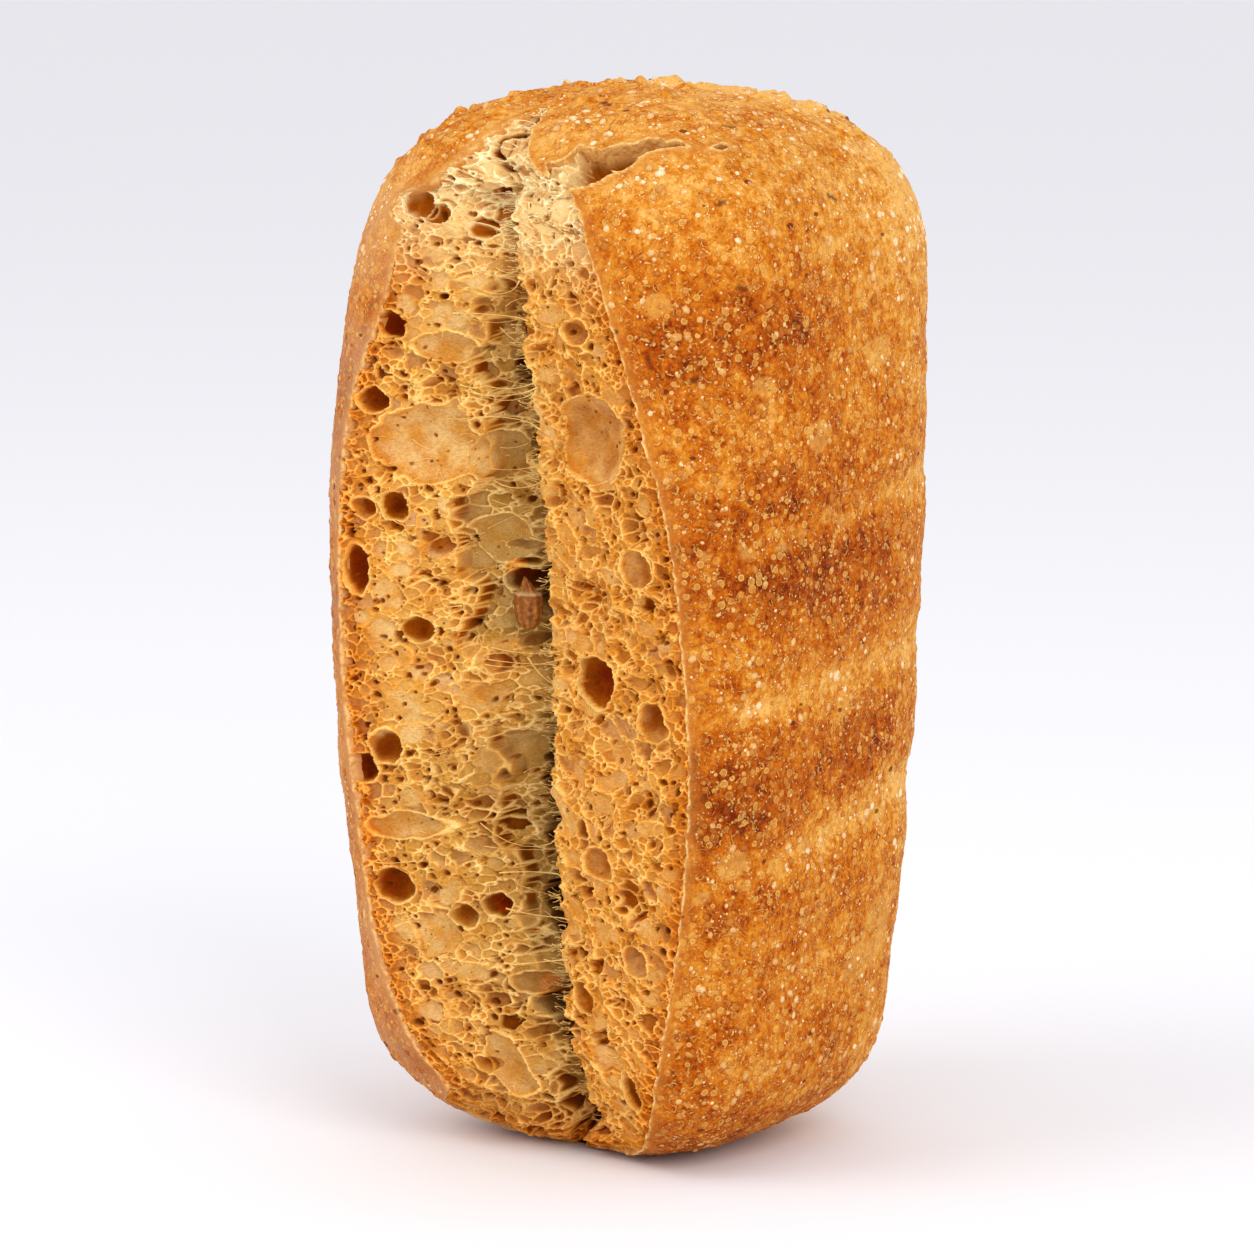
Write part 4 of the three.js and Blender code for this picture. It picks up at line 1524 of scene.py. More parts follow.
    def __post_init__(self) -> None:
        """Measure the face along the crack, lay out the grid and tear its top."""
        self.draw = np.random.default_rng(self.seed)
        self.ways = np.linspace(*self.way_range, 1200)
        self.run = run_along(self.form.face(np.zeros_like(self.ways), self.ways))
        self.across = np.arange(-self.half_across, self.half_across, self.step)
        self.up = np.arange(0, self.run[-1], self.step)
        self.way_up = np.interp(self.up, self.run, self.ways)
        self.line = np.stack([np.zeros_like(self.up), self.up, np.zeros_like(self.up)], -1)
        self.left, self.right = self.form.half_widths(self.way_up)
        self.a, self.b = np.meshgrid(self.across, self.up, indexing="ij")
        self.flat = np.stack([self.a, self.b, np.zeros_like(self.a)], -1)
        self.edge = np.minimum(self.a + self.left[None, :], self.right[None, :] - self.a)
        middle, reach = self.drawn_out
        self.stretch = np.exp(-np.abs(self.a - middle) / reach)
        width, sway_a, sway_b = self.warp
        self.warped_a = self.a + sway_a * self.noise.layers(self.flat, width, 3)
        self.warped_b = self.b + sway_b * self.noise.layers(self.flat + 45, width, 3)
        self.top, self.calm, self.still = np.zeros((3, *self.a.shape))
        self.tear_face()
        self.open_large_cells()
        self.open_dishes()
        self.open_cups()
        self.open_pits()
        self.open_crack()

    def window(self, cell: Array, reach: float) -> tuple[slice, slice]:
        """Part of the flat grid around a cell."""
        half = cell[2:4].max() * reach + 0.8
        low = np.floor((cell[:2] - half - [self.across[0], 0]) / self.step).astype(int)
        high = np.ceil((cell[:2] + half - [self.across[0], 0]) / self.step).astype(int) + 1
        return tuple(slice(max(p, 0), max(min(q, n), 0)) for p, q, n in zip(low, high, self.a.shape))

    def reach_of(self, cell: Array, box: tuple[slice, slice]) -> Array:
        """Scaled distance from a cell's middle over part of the flat grid, 1 at its wall."""
        a = self.warped_a[box] - cell[0]
        b = self.warped_b[box] - cell[1]
        cos, sin = math.cos(cell[4]), math.sin(cell[4])
        return np.hypot((a * cos + b * sin) / cell[2], (b * cos - a * sin) / cell[3])

    def grid_place(self, spots: Array) -> tuple[Array, Array]:
        """Column and row of flat spots in the grid."""
        column = ((spots[..., 0] - self.across[0]) / self.step).astype(int)
        row = (spots[..., 1] / self.step).astype(int)
        return np.clip(column, 0, len(self.across) - 1), np.clip(row, 0, len(self.up) - 1)

    def pack(self, classes: tuple[tuple[float, float, int], ...], room: Array) -> Array:
        """Place cells in the room left, the larger ones first.

        Args:
            classes: smallest and largest radius and tries of each size.
            room: distance from each grid point to the cells already there, which this lowers.

        Returns:
            One row for each cell: middle across and up, half sizes and turn.
        """
        cells = []
        for least, most, tries in classes:
            radius = least + (most - least) * self.draw.random(tries) ** self.size_power
            spot = self.draw.random((tries, 2))
            vary = self.draw.normal(0, 1, (tries, 3))
            row = (spot[:, 1] * (len(self.up) - 1)).astype(int)
            across = -self.left[row] + spot[:, 0] * (self.left[row] + self.right[row])
            column = self.grid_place(np.stack([across, self.up[row]], -1))[0]
            fits = radius < self.edge_room[0] + self.edge_room[1] * self.edge[column, row]
            likely = fits & (room[column, row] > self.room_share * radius)
            for n in np.flatnonzero(likely):
                if room[column[n], row[n]] < self.room_share * radius[n]:
                    continue
                near = self.stretch[column[n], row[n]]
                wide = radius[n] * (1.1 + 0.55 * near) * math.exp(self.vary_size * vary[n, 0])
                wide = wide * (self.right_stretch if across[n] > 0 else 1.0)
                tall = radius[n] * (0.95 - 0.15 * near) * math.exp(self.vary_size * vary[n, 1])
                turn = self.vary_turn * vary[n, 2] * (1 - 0.6 * near)
                cell = np.array([across[n], self.up[row[n]], wide, tall, turn])
                box = self.window(cell, 1.0 + (most + 0.4) / min(wide, tall))
                away = (self.reach_of(cell, box) - 1) * min(wide, tall)
                room[box] = np.minimum(room[box], away)
                cells.append(cell)
        return np.array(cells)

    def split(self, cells: Array) -> tuple[Array, Array, Array]:
        """Share the flat grid out among cells.

        Args:
            cells: rows from pack.

        Returns:
            The number of the cell at each point, its scaled distance, and the millimetres to the next cell.
        """
        first = np.full(self.a.shape, 5.0)
        second = np.full(self.a.shape, 5.0)
        owner = np.zeros(self.a.shape, dtype=int)
        for n, cell in enumerate(cells):
            box = self.window(cell, 2.2)
            reach = self.reach_of(cell, box)
            closer = reach < first[box]
            second[box] = np.where(closer, first[box], np.minimum(second[box], reach))
            owner[box] = np.where(closer, n, owner[box])
            first[box] = np.where(closer, reach, first[box])
        size = cells[:, 2:4].min(1)[owner]
        return owner, first, np.minimum(second - first, 2.4 - first) * 0.5 * size

    def tear_face(self) -> None:
        """Roughen the face, sink the hollows left of the crack and mark where shade is painted on them."""
        for n, size in enumerate(self.rough):
            self.top += self.noise.bumps(self.flat + 30 * n, size, 2)
        ragged = self.a + self.noise.bumps(self.flat + 60, self.hollow_wave, 3)
        at, half = self.hollow_middle
        middle = bell(self.up / self.up[-1] - at, half)
        share = self.hollow_share[0] + self.hollow_share[1] * middle
        past = ragged + (share * self.left)[None, :]
        step = ease(-0.5, 0.9, past) * (1 - ease(-0.3, 1.0, ragged))
        patchy = ease(-0.35, 0.5, self.noise.layers(self.line + 20, 17.0, 2))
        deep = np.clip(0.8 * patchy ** 1.5 + 0.4 * middle, 0, 1)[None, :]
        self.hollow = step * deep
        width, sway = self.crack_sway
        self.middle = sway * self.noise.at(self.line + 50, width)
        beside = self.a - self.middle[None, :] + 0.4 * self.noise.layers(self.flat + 90, 1.3, 2)
        table = np.array(self.undercut).T
        under, reach = (np.interp(self.way_up, table[0], column)[None, :] for column in table[1:])
        fade = np.exp(np.minimum(beside, 0) / reach) * (1 - ease(-0.15, 0.25, beside))
        self.top += under * fade
        # Painted shade over the hollows and in the band that the right half's edge shadows
        self.shade = np.maximum(0.65 * self.hollow, np.clip(under / 3.0, 0, 1) * fade ** 0.55)
        # Pale rim along the hollows' edge, partly painted highlight
        self.rim = 0.8 * deep * bell(past + 0.6, 0.4)
        least, most = self.hollow_depth
        self.top += step * (least + (most - least) * deep)

    def open_large_cells(self) -> None:
        """Sink the large cells that the solid has too, each with a crest round it."""
        self.room = np.full(self.a.shape, 9.0)
        self.datum = self.top.copy()
        sway = 1 + self.noise.bumps(self.flat + 170, self.large_sway, 3)
        for across, way, half_across, half_up, depth, pale in self.large:
            up = float(np.interp(way, self.ways, self.run))
            cell = np.array([across, up, half_across, half_up, 0.0])
            box = self.window(cell, 1.8)
            reach = self.reach_of(cell, box) * sway[box]
            least = min(half_across, half_up)
            apart = ease(-0.4, 0.4, self.room[box])
            self.room[box] = np.minimum(self.room[box], (reach - 1) * least)
            sunk = depth * np.sqrt(np.clip(1 - reach ** 2, 0, 1))
            from_crest = np.clip(np.abs((reach - 1.03) * least) - 0.03, 0, None)
            ring = apart * bell(from_crest, 0.2)
            self.top[box] = np.maximum(self.top[box], 0.8 * self.top[box] + sunk) - self.crest * ring
            lit = np.where(reach < 1, bell((1 - reach) * least, 0.12), ring)
            self.rim[box] = np.maximum(np.where(reach < 1, 0.3, 1.0) * self.rim[box], lit)
            self.datum[box] += (0.15 + 0.7 * pale) * sunk
            smooth_wall = np.where(reach < 1, 1.0, 0.6 * ring)
            self.calm[box] = np.maximum(self.calm[box], smooth_wall)
            self.still[box] = np.maximum(self.still[box], pale * (1 - ease(0.8, 1.0, reach)))

    def open_dishes(self) -> None:
        """Sink shallow dishes between the large cells; some keep a smooth floor."""
        cells = self.pack(self.dishes, self.room)
        owner, first, gap = self.split(cells)
        size = cells[:, 2:4].min(1)
        smooth_floor = self.draw.random(len(cells)) < self.smooth_dishes
        share = self.draw.uniform(0.3, 0.9, len(cells)) * np.where(smooth_floor, 0.5, 1.0)
        sunk = (share * size)[owner] * np.clip(1 - first ** 4, 0, 1)
        floor = smooth_floor[owner] * (1 - ease(0.7, 1.0, first))
        self.calm = np.maximum(self.calm, floor)
        self.still = np.maximum(self.still, floor * np.where(self.a > 2, self.right_pale, 1.0))
        ring = bell(gap, 0.26) * (first < 1.4)
        self.rim = np.maximum(self.rim, 0.8 * ring)
        self.top += sunk - 0.25 * ring
        self.datum += 0.55 * sunk

    def open_cups(self) -> None:
        """Open the small cells, whose walls are the net of thin edges."""
        from_lip = ease(0.0, 2.0, self.edge)
        self.datum *= from_lip
        self.top *= from_lip
        cells = self.pack(self.cups, np.full(self.a.shape, 9.0))
        owner, _, gap = self.split(cells)
        size = cells[:, 2:4].min(1)
        deep = np.where(self.draw.random(len(cells)) < self.deep_cups, 2.2, 1.0)
        depth = (size * deep * self.draw.uniform(0.35, 0.85, len(cells)) + 0.12)[owner]
        wall = (self.wall * self.draw.uniform(0.4, 1.3, len(cells)))[owner]
        rise = np.clip((gap - wall * 0.5) / (0.5 * size[owner]), 0, 1)
        open_share = 1 - 0.95 * self.calm
        bowl = (1 - (1 - rise) ** self.wall_power) * open_share
        patchy = np.clip(0.75 + 0.6 * self.noise.layers(self.flat + 110, 2.2, 2), 0.15, 1.0)
        net = bell(gap, 0.5 * wall + 0.08) * patchy * open_share
        self.rim = np.maximum(self.rim * (0.5 + 0.5 * patchy), net)
        self.tint = np.clip(0.1 + 0.4 * size + self.draw.uniform(-0.1, 0.3, len(cells)), 0, 1)[owner]
        # Painted shade: darker floors on the right half
        self.tint = np.clip(self.tint - self.right_half_shade * ease(1.0, 4.0, self.a), 0, 1)
        self.top += depth * bowl * ease(0.05, 0.5, self.edge)
        self.top += self.noise.bumps(self.flat + 140, self.wrinkles, 2)
        width, height = self.floor_bumps
        self.top += self.calm * height * self.noise.layers(self.flat + 190, width, 3)
        self.cells = cells
        log.info("gas cells: %d", len(cells))

    def open_pits(self) -> None:
        """Break small deeper cells through the floors."""
        self.pit = np.zeros(self.a.shape)
        picked = self.cells[self.draw.integers(0, len(self.cells), self.pits)]
        spread = self.draw.normal(0, 0.3, (self.pits, 2)) * picked[:, 2:4]
        least, most = self.pit_radius
        size = least + (most - least) * self.draw.random(self.pits) ** self.pit_power
        for cell, shift, radius in zip(picked, spread, size):
            spot = cell[:2] + shift
            column, row = self.grid_place(spot)
            small = radius * (1 - 0.4 * self.calm[column, row])
            if self.edge[column, row] < small + 0.4 or self.draw.random() < 0.6 * self.calm[column, row]:
                continue
            pit = np.array([*spot, 1.2 * small, small, 0.0])
            box = self.window(pit, 1.2)
            sunk = 2.0 * small * np.sqrt(np.clip(1 - self.reach_of(pit, box) ** 2, 0, 1))
            pitted = np.maximum(self.top[box], self.top[column, row] + sunk)
            self.top[box] = np.where(sunk > 0, pitted, self.top[box])
            self.pit[box] = np.maximum(self.pit[box], ease(0.0, 1.3 * small, sunk))

    def open_crack(self) -> None:
        """Part the two halves where the crack gapes."""
        wide = np.zeros_like(self.up)
        for at, half, width in self.gapes:
            wide = np.maximum(wide, width * bell(self.way_up - at, half))
        wide = wide * (1 + 0.5 * self.noise.layers(self.line + 70, 5.0, 2)) - 0.1
        ragged = 0.6 * self.noise.layers(self.flat + 90, 1.6, 2)
        gap = (wide[None, :] + ragged * (wide > 0.1)) - np.abs(self.a - (self.middle - wide)[None, :])
        self.top += self.crack_depth * ease(-0.3, 0.5, gap) * ease(0.5, 3.0, self.edge)

    def on_loaf(self, spots: Array) -> Array:
        """Places on the loaf of spots given as across, up and down.

        Args:
            spots: flat spots with their depth.

        Returns:
            Points in millimetres.
        """
        way = np.interp(spots[:, 1], self.run, self.ways)
        left, right = self.form.half_widths(way)
        half = np.maximum(np.where(spots[:, 0] < 0, left, right), 0.1)
        q = np.clip(spots[:, 0] / half, -1, 1)
        base = self.form.face(q, way)
        left, right = (self.form.face(np.clip(q + shift, -1, 1), way) for shift in (-0.02, 0.02))
        rise = self.form.face(q, way + 0.004) - self.form.face(q, way - 0.004)
        inward = -unit(np.cross(right - left, rise))
        straight = np.array([0.0, 1.0, 0.0])
        share = self.inward_share
        return base + unit(share * inward + (1 - share) * straight) * spots[:, 2:3]

    def toasted(self, spots: Array) -> Array:
        """How much a spot is toasted: most by the lips and at the foot, where it is partly painted shade
        near the floor, some on the right half.

        Args:
            spots: flat spots.

        Returns:
            One value for each spot, from 0 to 1.
        """
        edge = np.maximum(self.edge[self.grid_place(spots)], 0)
        near = bell(edge, self.toast_reach)
        share = spots[..., 1] / self.up[-1]
        near = np.maximum(near, self.toast_least * ease(2.0, 9.0, spots[..., 0]))
        # Toast at the foot, partly painted shade near the floor
        near = np.maximum(near, self.foot_toast_and_shade * (1 - ease(*self.foot_toast_over, share)))
        near = np.maximum(near, 1 - ease(*self.foot_scorch_over, share))
        for across, way, radius in self.warm_spots:
            up = np.interp(way, self.ways, self.run)
            away = np.hypot(spots[..., 0] - across, spots[..., 1] - up)
            near = np.maximum(near, 1 - ease(0.6 * radius, radius, away))
        return near

    def near_crown(self, spots: Array) -> Array:
        """How much of the crown's pale crumb a spot has."""
        return ease(*self.cream_over, spots[..., 1] / self.up[-1])

    def painted_crack_shade(self, spots: Array) -> Array:
        """How much painted shade a spot gets in the crack and its hollows."""
        warm = ease(0.7, 1.0, self.toasted(spots))
        return self.shade[self.grid_place(spots)] * (1 - 0.7 * self.near_crown(spots)) * (1 - warm)

    def build(self, material: Material) -> None:
        """Make the crumb's pieces, one above the other from the foot to the crown.

        Args:
            material: the crumb's material.
        """
        depth = np.where(self.edge > 0, self.top, self.under_crust)
        spots = np.stack([self.a, self.b, depth], -1).reshape(-1, 3)
        a, b, c, d = corner_grids(np.arange(self.a.size).reshape(self.a.shape))
        faces = np.stack([a, d, c, b], -1).reshape(-1, 4)
        faces = faces[(self.edge.ravel()[faces] > 0).any(1)]
        grids = {"rim": self.rim, "still": self.still, "tint": self.tint, "pit": self.pit}
        values = {name: grid.ravel() for name, grid in grids.items()}
        whole = kept_part(Patch("crumb", spots, faces, values), "crumb", slice(None))
        spots = whole.points
        place = self.grid_place(spots)
        whole.points = self.on_loaf(spots)
        whole.points[:, 2] = np.maximum(whole.points[:, 2], self.off_floor)
        whole.normals = point_normals(whole.points, whole.faces)
        whole.corner_uv = spots[whole.faces, :2]
        whole.values |= {
            "sink": np.clip(spots[:, 2] - self.datum[place], 0, self.deepest),
            "lip": self.toasted(spots),
            # Painted shade in the crack and its hollows
            "crack": self.painted_crack_shade(spots),
            "cream": self.near_crown(spots),
        }
        height = spots[whole.faces[:, 0], 1]
        edges = np.quantile(height, np.linspace(0, 1, self.bands + 1))
        edges[-1] += 1.0
        for n in range(self.bands):
            part = kept_part(whole, f"crumb_{n + 1}", (height >= edges[n]) & (height < edges[n + 1]))
            add_piece(part.name, new_mesh(part, material))


def mesh_from_tree(
    name: str, start: Mesh, tree: bpy.types.NodeTree, sizes: dict[str, Any]
) -> Mesh:
    """Run a geometry node tree on a mesh and keep the result as a plain mesh.

    Args:
        name: name of the new mesh.
        start: the mesh that the tree reads.
        tree: the node tree.
        sizes: values of the tree's named inputs.

    Returns:
        The new mesh.
    """
    holder = bpy.data.objects.new(name, start)
    modifier = holder.modifiers.new(name, "NODES")
    modifier.node_group = tree
    for item in tree.interface.items_tree:
        if item.in_out == "INPUT" and item.name in sizes:
            modifier[item.identifier] = sizes[item.name]
    bpy.context.scene.collection.objects.link(holder)
    graph = bpy.context.evaluated_depsgraph_get()
    made = bpy.data.meshes.new_from_object(holder.evaluated_get(graph), depsgraph=graph)
    made.name = name
    holder.modifiers.remove(modifier)
    bpy.data.objects.remove(holder)
    return made


def new_tree(name: str, inputs: dict[str, str]) -> tuple[NodeTree, dict[str, Socket]]:
    """Start a geometry node tree with named inputs.

    Args:
        name: name of the tree.
        inputs: name of each input with its socket type.

    Returns:
        The tree, and its input sockets by name.
    """
    group = bpy.data.node_groups.new(name, "GeometryNodeTree")
    group.interface.new_socket(name="Geometry", in_out="INPUT", socket_type="NodeSocketGeometry")
    for label, kind in inputs.items():
        group.interface.new_socket(name=label, in_out="INPUT", socket_type=kind)
    group.interface.new_socket(name="Geometry", in_out="OUTPUT", socket_type="NodeSocketGeometry")
    t = NodeTree(group)
    start = t.add("NodeGroupInput")
    return t, {socket.name: socket for socket in start.outputs if socket.name}


def close_tree(t: NodeTree, parts: Socket, material: Socket) -> bpy.types.NodeTree:
    """End a geometry node tree with plain, smooth and dressed parts.

    Args:
        t: the tree.
        parts: the geometry so far.
        material: the material to set.

    Returns:
        The finished tree.
    """
    solid = t.add("GeometryNodeRealizeInstances", {"Geometry": parts}).outputs[0]
    solid = t.add("GeometryNodeSetShadeSmooth", {"Geometry": solid}).outputs[0]
    dressed = t.add("GeometryNodeSetMaterial", {"Geometry": solid, "Material": material}).outputs[0]
    t.add("NodeGroupOutput", {0: dressed})
    return t.tree


@dataclass
class Blisters:
    """Beads of lifted skin strewn over the crust by a node tree."""

    smallest: float = 0.18
    largest: float = 0.95
    height: float = 0.34
    per_square_cm: float = 37.0
    seed: int = 5

    def tree(self) -> bpy.types.NodeTree:
        """Build the tree: scattered points, a low dome on each, and a random tone for its colour.

        Returns:
            The tree.
        """
        number = "NodeSocketFloat"
        inputs = {"Density": number, "Smallest": number, "Largest": number, "Height": number}
        inputs |= {"Seed": "NodeSocketInt", "Material": "NodeSocketMaterial"}
        t, given = new_tree("blisters_on_crust", inputs)
        thick = t.add("GeometryNodeInputNamedAttribute", {"Name": "blister"}, data_type="FLOAT").outputs[0]
        spread = {"Mesh": given["Geometry"], "Density": t.times(given["Density"], thick)}
        points = t.add("GeometryNodeDistributePointsOnFaces", spread | {"Seed": given["Seed"]})

        def chance(low: float, high: float, shift: int) -> Socket:
            """A random value for each point."""
            seed = t.plus(given["Seed"], shift)
            inputs = {2: low, 3: high, 8: seed}
            return t.add("FunctionNodeRandomValue", inputs, data_type="FLOAT").outputs[1]

        share = t.math("POWER", chance(0.0, 1.0, 1), 4.0)
        size = t.times(share, t.minus(given["Largest"], given["Smallest"]))
        size = t.plus(size, given["Smallest"])
        wide = t.times(size, chance(0.7, 1.45, 2))
        tall = t.times(size, given["Height"])
        scale = t.add("ShaderNodeCombineXYZ", {0: wide, 1: size, 2: tall}).outputs[0]
        turn = t.add("ShaderNodeCombineXYZ", {2: chance(0.0, math.tau, 3)}).outputs[0]
        turn = t.add("FunctionNodeEulerToRotation", {0: turn}).outputs[0]
        way = {0: points.outputs["Rotation"], 1: turn}
        turned = t.add("FunctionNodeRotateRotation", way, rotation_space="LOCAL").outputs[0]
        dome = t.add("GeometryNodeMeshIcoSphere", {"Radius": 1.0, "Subdivisions": 1}).outputs[0]
        put = {"Points": points.outputs["Points"], "Instance": dome, "Rotation": turned, "Scale": scale}
        beads = t.add("GeometryNodeInstanceOnPoints", put).outputs[0]
        tone = t.math("POWER", chance(0.0, 1.0, 4), 1.2)
        tone = t.times(tone, t.minus(1.0, t.times(share, 0.35)))
        tone = {"Geometry": beads, "Name": "tone", "Value": tone}
        beads = t.add("GeometryNodeStoreNamedAttribute", tone, data_type="FLOAT", domain="INSTANCE")
        return close_tree(t, beads.outputs[0], given["Material"])

    def build(self, hosts: list[Piece], material: Material) -> None:
        """Strew beads over each piece of crust.

        Args:
            hosts: the crust's pieces.
            material: the beads' material.
        """
        tree = self.tree()
        for n, host in enumerate(hosts):
            sizes = {"Density": self.per_square_cm * 1e4, "Height": self.height}
            sizes |= {"Smallest": self.smallest * MM, "Largest": self.largest * MM}
            sizes |= {"Seed": self.seed + 10 * n, "Material": material}
            name = host.name.replace("crust", "blisters")
            add_piece(name, mesh_from_tree(name, host.data, tree, sizes))


@dataclass
class Strands:
    """Threads of crumb: those that bridge the crack, the fray along it, and wisps between the cells."""

    crumb: Crumb
    bridges: int = 60
    fray: int = 420
    wisps: int = 700
    rim_depth: float = 0.7
    steps: int = 6
    width: Pair = (0.05, 0.16)
    fray_width: float = 0.6
    seed_room: float = 5.0
    sides: int = 4
    seed: int = 41

    def tree(self) -> bpy.types.NodeTree:
        """Build the tree: each line of the mesh becomes a thin tube as wide as its points say.

        Returns:
            The tree.
        """
        inputs = {"Sides": "NodeSocketInt", "Material": "NodeSocketMaterial"}
        t, given = new_tree("threads_of_crumb", inputs)
        lines = t.add("GeometryNodeMeshToCurve", {"Mesh": given["Geometry"]}).outputs[0]
        ring = {"Resolution": given["Sides"], "Radius": 1.0}
        ring = t.add("GeometryNodeCurvePrimitiveCircle", ring).outputs[0]
        wide = t.add("GeometryNodeInputNamedAttribute", {"Name": "width"}, data_type="FLOAT").outputs[0]
        sweep = {"Curve": lines, "Profile Curve": ring, "Scale": wide, "Fill Caps": True}
        tubes = t.add("GeometryNodeCurveToMesh", sweep).outputs[0]
        return close_tree(t, tubes, given["Material"])

    def depth_at(self, spots: Array) -> Array:
        """Depth of the torn face at flat spots, above its small cells."""
        place = self.crumb.grid_place(spots)
        return np.minimum(self.crumb.top[place], self.crumb.datum[place] + 0.3)

    def below_datum(self, spots: Array) -> Array:
        """How far the torn face lies below its rims at flat spots."""
        place = self.crumb.grid_place(spots)
        return self.crumb.top[place] - self.crumb.datum[place]

    def lines(self) -> tuple[Array, Array]:
        """Spots along every thread and each thread's width.

        Returns:
            Across, up and depth of each thread's points, and the widths.
        """
        crumb = self.crumb
        draw = np.random.default_rng(self.seed)
        top = crumb.up[-1]
        count = self.bridges + self.fray + self.wisps
        start = np.empty((count, 2))
        end = np.empty((count, 2))
        b = slice(0, self.bridges)
        f = slice(self.bridges, self.bridges + self.fray)
        w = slice(self.bridges + self.fray, count)
        across = draw.uniform(-13, -3, self.bridges)
        start[b] = np.stack([across, draw.uniform(0.1, 0.93, self.bridges) * top], -1)
        across = draw.uniform(0.3, 3.5, self.bridges)
        end[b] = np.stack([across, start[b, 1] + draw.normal(0, 1.6, self.bridges)], -1)
        height = draw.uniform(0.06, 0.9, self.fray) * top
        edge = np.interp(height, crumb.up, crumb.middle) + draw.uniform(0.15, 0.6, self.fray)
        start[f] = np.stack([edge, height], -1)
        across = draw.uniform(-2.4, -0.7, self.fray)
        end[f] = start[f] + np.stack([across, draw.normal(0, 0.45, self.fray)], -1)
        row = draw.integers(0, len(crumb.up), self.wisps)
        share = draw.uniform(0.05, 0.95, self.wisps)
        across = -crumb.left[row] + share * (crumb.left[row] + crumb.right[row])
        start[w] = np.stack([across, crumb.up[row]], -1)
        across = draw.normal(0, 2.2, self.wisps)
        end[w] = start[w] + np.stack([across, draw.normal(0, 0.9, self.wisps)], -1)
        t = np.linspace(0, 1, self.steps + 1)[None, :, None]
        flat = start[:, None] + (end - start)[:, None] * t
        length = np.linalg.norm(end - start, axis=1)[:, None]
        bow = 4 * t[..., 0] * (1 - t[..., 0])
        flat[..., 1] += bow * draw.normal(-0.04, 0.1, (count, 1)) * length
        first, last = self.depth_at(start), self.depth_at(end)
        depth = first[:, None] + (last - first)[:, None] * t[..., 0] - 0.05
        depth = depth - bow * draw.uniform(0, 0.08, (count, 1)) * length
        depth[f] = first[f, None] - 0.1 + t[..., 0] * draw.uniform(-0.3, 0.8, (self.fray, 1))
        width = draw.uniform(*self.width, count)
        width[f] *= self.fray_width
        on_rims = np.maximum(self.below_datum(start), self.below_datum(end)) < self.rim_depth
        middle = (start + end) / 2
        over_hollow = crumb.hollow[crumb.grid_place(middle)] > 0.3
        up = float(np.interp(Seed.way, crumb.ways, crumb.run))
        clear = np.linalg.norm(middle - [Seed.across, up], axis=1) > self.seed_room
        kind = np.arange(count)
        kept = np.where(kind < self.bridges, over_hollow, (kind < self.bridges + self.fray) | on_rims)
        kept &= clear
        return np.concatenate([flat, depth[..., None]], -1)[kept], width[kept]

    def build(self, material: Material) -> None:
        """Make the threads as one piece.

        Args:
            material: the crumb's material.
        """
        spots, width = self.lines()
        count, points = spots.shape[:2]
        places = self.crumb.on_loaf(spots.reshape(-1, 3))
        number = np.arange(count * points).reshape(count, points)
        sides = np.stack([number[:, :-1], number[:, 1:]], -1).reshape(-1, 2)
        lines = bpy.data.meshes.new("thread_lines")
        lines.from_pydata((places * MM).tolist(), sides.tolist(), [])
        along = np.linspace(-1, 1, points)[None, :]
        values = {
            "width": width[:, None] * (0.5 + 0.9 * along ** 2) * MM,
            "lip": self.crumb.toasted(spots),
            # Threads over the crack share its painted shade
            "crack": 0.6 * self.crumb.painted_crack_shade(spots),
            "rim": np.full((count, points), 0.7),
            "tint": np.full((count, points), 0.7),
            "cream": self.crumb.near_crown(spots),
        }
        set_values(lines, values)
        sizes = {"Sides": self.sides, "Material": material}
        add_piece("crumb_threads", mesh_from_tree("crumb_threads", lines, self.tree(), sizes))


@dataclass(frozen=True)
class SeedFinish:
    """Whole grain in its husk: dry, ribbed along its length and a little glossy.

    It gives the eye dull browns with fine lengthwise streaks, and one pale ring.
    """

    name: str = "whole_grain_husk"
    shades: Stops = ((0.0, "#4a2204"), (0.5, "#8c4e12"), (1.0, "#bc8036"))
    ring: str = "#d9b684"
    streaks: float = 9.0
    grain_width: float = 0.8
    relief: Pair = (0.5, 0.15)
    roughness: float = 0.4
    specular: float = 0.25
    ior: float = 1.45

    def material(self) -> Material:
        """Build the material.

        Returns:
            A material that reads the points' around and ring values.
        """
        made, t = new_material(self.name)
        around, ring = t.read("around"), t.read("ring")
        grain = t.span(t.noise(t.place(), self.grain_width, 3.0), 0.2, 0.8, (-0.3, 0.3))
        wave = t.math("SINE", t.times(around, self.streaks))
        shade = t.plus(t.span(wave, -1.0, 1.0, (0.4, 0.6)), grain)
        colour = t.blend(t.times(ring, 0.8), t.ramp(shade, self.shades), self.ring)
        look = {"Base Color": colour, "Roughness": self.roughness, "IOR": self.ior}
        look |= {"Specular IOR Level": self.specular, "Normal": t.bumps(*self.relief, wave)}
        t.surface(look)
        return made


